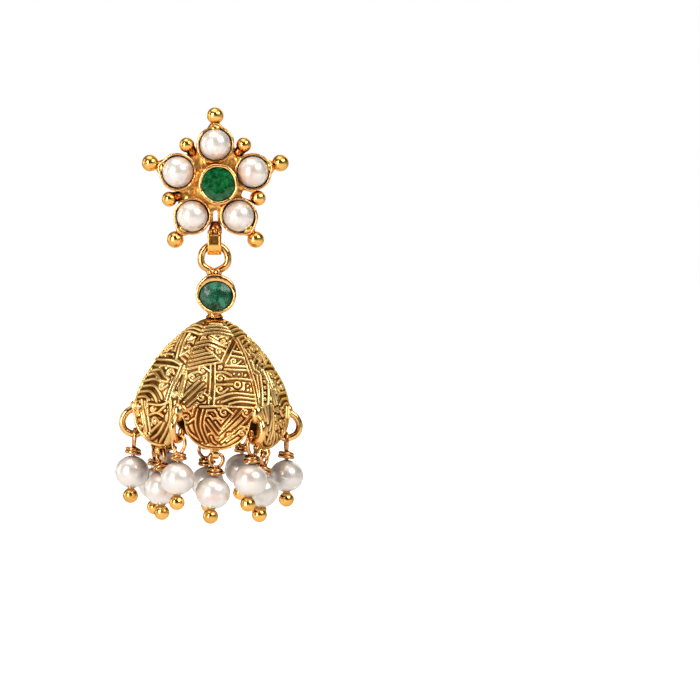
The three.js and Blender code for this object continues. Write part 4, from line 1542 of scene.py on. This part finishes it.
class JHUMKA_OT_bell_hooks(Operator):
    """Makes the wire hooks at the notches and the bands at the petal tips"""

    bl_idname = "jhumka.bell_hooks"
    bl_label = "Bell hooks and bands"

    def execute(self, context):
        lean = bell_lean()
        for k in range(PETALS):
            degrees = BELL_TURN + 60 * k + 30
            path = catmull([around_bell(radius, degrees, z) for radius, z in HOOK_PATH], 44)
            hook = tube(path, 0.42, 18)
            # The two hooks in front have larger beads of solder.
            blob, faces = ball_shape(0.74 if k in (0, PETALS - 1) else 0.52, 20, 12)
            solder = shifted((blob * np.array([1, 1, 1.5]), faces), *around_bell(9.3, degrees, -26.95))
            self.add(f"notch_hook_{k + 1}", [moved(hook, lean), moved(solder, lean)])
            self.add(f"tip_band_{k + 1}", [moved(self.band(BELL_TURN + 60 * k), lean)], sharp=50)
        return {"FINISHED"}

    def add(self, name, shapes, sharp=None):
        add_piece(name, shapes, "hook_gold", PENDANT, ["bell_dome"], sharp)

    def band(self, degrees):
        profile = rounded([(0.4, 0), (0.4, -0.4), (0.63, -0.4), (0.63, 0.4), (0.4, 0.4), (0.4, 0)], 0.08)
        ring = lathe(profile[:-1], 28)
        along_edge = Matrix.Rotation(math.radians(90), 4, "Y")
        place = Matrix.Rotation(math.radians(degrees), 4, "Z") @ Matrix.Translation((0, -BAND_RADIUS, BAND_Z))
        return moved(ring, place @ along_edge)


class DropRow:
    """Six drops alike: where they hang, their loop's top and half its height, and how each one leans."""

    def __init__(self, hanging, first_turn, loop_top, loop_half, pearl_z, first_seed, leans, slides):
        self.radius, self.z = hanging
        self.first_turn = first_turn
        self.loop_top = loop_top
        self.loop_half = loop_half
        self.pearl = pearl_z - self.z
        self.first_seed = first_seed
        self.leans = leans
        self.slides = slides


# Leans are in degrees about the hanging point; slides are millimetres to one side of it.
DROP_ROWS = {
    "notch": DropRow(
        hanging=HOOK_FOOT,
        first_turn=30,
        loop_top=0.625,
        loop_half=1.1,
        pearl_z=-34.82,
        first_seed=0,
        leans=[5.5, 0, 2, 0.5, 4, 2],
        slides=[-0.16, 0, 0, 0, 0, 0.16],
    ),
    "tip": DropRow(
        hanging=(BAND_RADIUS, BAND_Z),
        first_turn=0,
        loop_top=-0.02,
        loop_half=0.8,
        pearl_z=-36.45,
        first_seed=7,
        leans=[6, 5, 0, -3, 2, -1],
        slides=[0.2, 0, 0, 0, 0, 0],
    ),
}


class JHUMKA_OT_pearl_drops(Operator):
    """Makes the twelve pearls and their head pins"""

    bl_idname = "jhumka.pearl_drops"
    bl_label = "Pearl drops"

    def execute(self, context):
        for k in range(PETALS):
            for kind, row in DROP_ROWS.items():
                self.drop(context.scene.jhumka_drops, f"{kind}_drop_{k + 1}", row, k)
        return {"FINISHED"}

    def drop(self, sizes, name, row, k):
        """One drop, made about its hanging point and then leaned."""
        degrees = BELL_TURN + 60 * k + row.first_turn
        seed = k + row.first_seed
        angle = math.radians(degrees)
        point = around_bell(row.radius, degrees, row.z - BELL_TOP_Z)
        point = point + row.slides[k] * np.array([math.cos(angle), math.sin(angle), 0])
        hang = Matrix.Rotation(BELL_LEAN, 4, "Y") @ Vector(point)
        place = Matrix.Translation(hang + Vector((HANG[0], HANG[1], BELL_TOP_Z)))
        place = place @ Matrix.Rotation(math.radians(row.leans[k]), 4, "Y")
        faced = place @ Matrix.Rotation(math.radians(degrees), 4, "Z")
        pin = [moved(shape, faced) for shape in self.wires(sizes, row, seed)]
        add_piece(name + "_wire", pin, "wire_gold", PENDANT, [name + "_headpin"])
        ball = moved(self.ball(sizes, row.pearl), place)
        add_piece(name + "_ball", [ball], "ball_gold", PENDANT, [name + "_headpin"], sharp=60)
        bead = moved(self.pearl(sizes, row.pearl, seed), place)
        add_piece(name + "_bead", [bead], "pearl", PENDANT, [name + "_pearl"], sharp=60)

    def wires(self, sizes, row, seed):
        """The oval loop, the two turns round its foot with a short tail, and the pin down to the pearl."""
        across, rise = squared(np.linspace(0, 2 * math.pi, 48, endpoint=False), 2 / 2.6)
        narrowing = 1 - 0.3 * smoothstep(0.1, -1, rise)
        heights = row.loop_top + row.loop_half * (rise - 1)
        loop = np.stack([0.8 * across * narrowing, 0 * across, heights], axis=1)
        coil_foot = row.pearl + sizes.pearl_half_height + 0.02 + sizes.wire
        coil_top = row.loop_top - 2 * row.loop_half - sizes.wire * 0.4
        share = np.linspace(0, 1, 60)
        turn = 2 * math.pi * 1.75 * share + seed
        reach = 0.84 - 0.14 * share
        height = coil_foot + (coil_top - coil_foot) * share
        slant = 0.2 * np.sin(turn - seed + 0.8)
        coil = np.stack([reach * np.cos(turn), reach * np.sin(turn), height + slant], axis=1)
        tail = coil[0] + np.outer(np.linspace(0.5, 0.15, 4), [math.sin(seed), -math.cos(seed), 0.2])
        last = turn[-1] + 0.5
        coil = np.vstack([tail, coil, [[0.25 * math.cos(last), 0.25 * math.sin(last), coil_top + 0.08]]])
        pin = np.array([[0, 0, z] for z in (row.pearl - 1.6, row.pearl, coil_foot, coil_top + 0.1)])
        return [tube(loop, sizes.wire, 14, True), tube(coil, sizes.wire * 0.95, 12), tube(pin, 0.24, 12)]

    def ball(self, sizes, pearl):
        """The head pin's ball below the pearl, with a collar."""
        centre = pearl - sizes.pearl_half_height - sizes.ball + 0.03
        profile = arc_profile(sizes.ball, sizes.ball * 0.98, np.linspace(0, math.pi, 22))
        profile[0] = (0, -sizes.ball * 0.98)
        collar = sizes.ball * 0.5
        profile = [place for place in profile if place[1] < sizes.ball * 0.82]
        profile += [(collar, sizes.ball * 0.84), (collar * 0.9, sizes.ball * 0.97), (0, sizes.ball * 0.97)]
        return shifted(lathe(profile, 32), 0, 0, centre)

    def pearl(self, sizes, centre, seed):
        """A drilled pearl, a little out of round."""
        hole = 0.34
        start = math.asin(hole / sizes.pearl_radius)
        angles = np.linspace(start, math.pi - start, 30)
        places, faces = lathe(arc_profile(sizes.pearl_radius, sizes.pearl_half_height, angles), 48)
        wobble = np.sin(places[:, 0] * 1.3 + seed) * np.cos(places[:, 1] * 1.1 + 2 * seed)
        wobble += 0.6 * np.sin(places[:, 2] * 1.2 + 3 * seed)
        places = places * (1 + 0.012 * wobble[:, None])
        return shifted((places, faces), 0, 0, centre)


def add_light(name, place, target, width, height, power, colour):
    light = bpy.data.lights.new(name, "AREA")
    light.shape = "RECTANGLE"
    light.size = width
    light.size_y = height
    light.energy = power
    light.color = colour
    lamp = bpy.data.objects.new(name, light)
    lamp.location = place
    lamp.rotation_euler = (Vector(target) - Vector(place)).to_track_quat("-Z", "Y").to_euler()
    bpy.context.scene.collection.objects.link(lamp)
    return lamp


class JHUMKA_OT_stage(Operator):
    """Makes the pale floor, the soft light and the camera"""

    bl_idname = "jhumka.stage"
    bl_label = "Stage, light and camera"

    # The photograph's frame: its size, and one of its points as a real size.
    FRAME_POINTS = 700
    POINT_MM = 0.12
    STAR_MIDDLE = (215.5, 184.0)
    LENS = 200.0
    SENSOR = 36.0
    ELEVATION = math.radians(2.8)
    FLOOR_Z = -0.11

    def execute(self, context):
        self.floor(context)
        self.world(context)
        self.lights()
        self.camera(context)
        context.scene.view_settings.view_transform = "Standard"
        context.scene.view_settings.look = "None"
        return {"FINISHED"}

    def floor(self, context):
        made = bmesh.new()
        bmesh.ops.create_circle(made, cap_ends=True, segments=96, radius=3.0)
        mesh = bpy.data.meshes.new("pale_floor")
        made.to_mesh(mesh)
        made.free()
        mesh.materials.append(finish_material("pale"))
        floor = bpy.data.objects.new("pale_floor", mesh)
        floor.location = (0, 0, self.FLOOR_Z)
        context.scene.collection.objects.link(floor)

    def world(self, context):
        """White along the horizon all round, and dimmer and warmer higher up between the lights."""
        world = bpy.data.worlds.new("studio")
        context.scene.world = world
        world.use_nodes = True
        made = Nodes(world.node_tree)
        stops = [
            (0.0, (0.5, 0.5, 0.5)),
            (0.44, (1.0, 1.0, 1.0)),
            (0.55, (1.0, 1.0, 1.0)),
            (0.6, (0.3, 0.28, 0.26)),
            (0.8, (0.16, 0.15, 0.14)),
            (0.9, (0.4, 0.4, 0.4)),
            (1.0, (0.7, 0.7, 0.7)),
        ]
        tone = made.ramp(made.span(made.axis("Z", "Generated"), start=-1.0, end=1.0), stops)
        # The room in front is dark, and the right side is dimmer than the left.
        front = made.span(made.axis("Y", "Generated"), 0.1, 1.0, -1.0, -0.5)
        right = made.span(made.axis("X", "Generated"), 1.0, 0.5, 0.3, 0.9)
        room = made.add("ShaderNodeBackground", Color=tone, Strength=made.product(front, right))
        # The backdrop itself is plain white from every side.
        backdrop = made.add("ShaderNodeBackground", Color=(1, 1, 1, 1))
        mixed = made.add("ShaderNodeMixShader", Fac=made.camera_ray())
        made.set(mixed, 1, room.outputs["Background"])
        made.set(mixed, 2, backdrop.outputs["Background"])
        made.set(made.tree.nodes["World Output"], "Surface", mixed.outputs["Shader"])

    def lights(self):
        middle = (0, 0, -0.018)
        add_light("key_softbox", (0.4, -0.36, 0.4), middle, 0.4, 0.34, 2.6, (1.0, 0.98, 0.96))
        add_light("strip_softbox", (-0.36, -0.46, 0.08), middle, 0.13, 0.5, 2.9, (1.0, 0.99, 0.98))
        add_light("top_softbox", (-0.1, -0.1, 0.6), middle, 0.5, 0.4, 1.0, (1.0, 0.98, 0.96))
        add_light("left_fill", (-0.55, 0.1, 0.12), middle, 0.2, 0.5, 0.5, (1.0, 0.96, 0.9))
        add_light("back_light", (0.2, 0.55, 0.3), middle, 0.5, 0.4, 0.7, (1.0, 1.0, 1.0))

    def camera(self, context):
        """Stands straight in front of the earring and pans to where the photograph's middle lies."""
        half = self.FRAME_POINTS / 2
        aim = Vector(
            (
                (half - self.STAR_MIDDLE[0]) * self.POINT_MM * MM,
                HANG[1] * MM,
                -(half - self.STAR_MIDDLE[1]) * self.POINT_MM * MM,
            )
        )
        distance = self.FRAME_POINTS * self.POINT_MM * MM * self.LENS / self.SENSOR
        place = Vector((0, aim.y - distance, aim.z + distance * math.tan(self.ELEVATION)))
        data = bpy.data.cameras.new("photo_camera")
        data.lens = self.LENS
        data.sensor_width = self.SENSOR
        data.clip_start = 0.01
        data.clip_end = 50
        camera = bpy.data.objects.new("photo_camera", data)
        camera.location = place
        camera.rotation_euler = (aim - place).to_track_quat("-Z", "Y").to_euler()
        context.scene.collection.objects.link(camera)
        context.scene.camera = camera


PIECE_OPERATORS = (
    JHUMKA_OT_star_setting,
    JHUMKA_OT_star_pearls,
    JHUMKA_OT_star_emerald,
    JHUMKA_OT_ear_post,
    JHUMKA_OT_drop_setting,
    JHUMKA_OT_drop_emerald,
    JHUMKA_OT_bell,
    JHUMKA_OT_bell_hooks,
    JHUMKA_OT_pearl_drops,
    JHUMKA_OT_stage,
)


class JHUMKA_PT_panel(Panel):
    """Sizes, colours and pieces of the earring"""

    bl_label = "Jhumka earring"
    bl_idname = "JHUMKA_PT_panel"
    bl_space_type = "VIEW_3D"
    bl_region_type = "UI"
    bl_category = "Jhumka"

    def draw(self, context):
        scene = context.scene
        groups = (scene.jhumka_star, scene.jhumka_bell, scene.jhumka_drops, scene.jhumka_finish)
        for group in groups:
            box = self.layout.box()
            for key in group.bl_rna.properties.keys():
                if key not in {"rna_type", "name"}:
                    box.prop(group, key)
        for operator in PIECE_OPERATORS:
            self.layout.operator(operator.bl_idname)


CLASSES = (JhumkaStar, JhumkaBell, JhumkaDrops, JhumkaFinish, *PIECE_OPERATORS, JHUMKA_PT_panel)


def register():
    for cls in CLASSES:
        bpy.utils.register_class(cls)
    bpy.types.Scene.jhumka_star = PointerProperty(type=JhumkaStar)
    bpy.types.Scene.jhumka_bell = PointerProperty(type=JhumkaBell)
    bpy.types.Scene.jhumka_drops = PointerProperty(type=JhumkaDrops)
    bpy.types.Scene.jhumka_finish = PointerProperty(type=JhumkaFinish)


def unregister():
    for key in ("jhumka_star", "jhumka_bell", "jhumka_drops", "jhumka_finish"):
        delattr(bpy.types.Scene, key)
    for cls in reversed(CLASSES):
        bpy.utils.unregister_class(cls)


def main():
    register()
    for operator in PIECE_OPERATORS:
        group, action = operator.bl_idname.split(".")
        getattr(getattr(bpy.ops, group), action)()


if __name__ == "__main__":
    main()
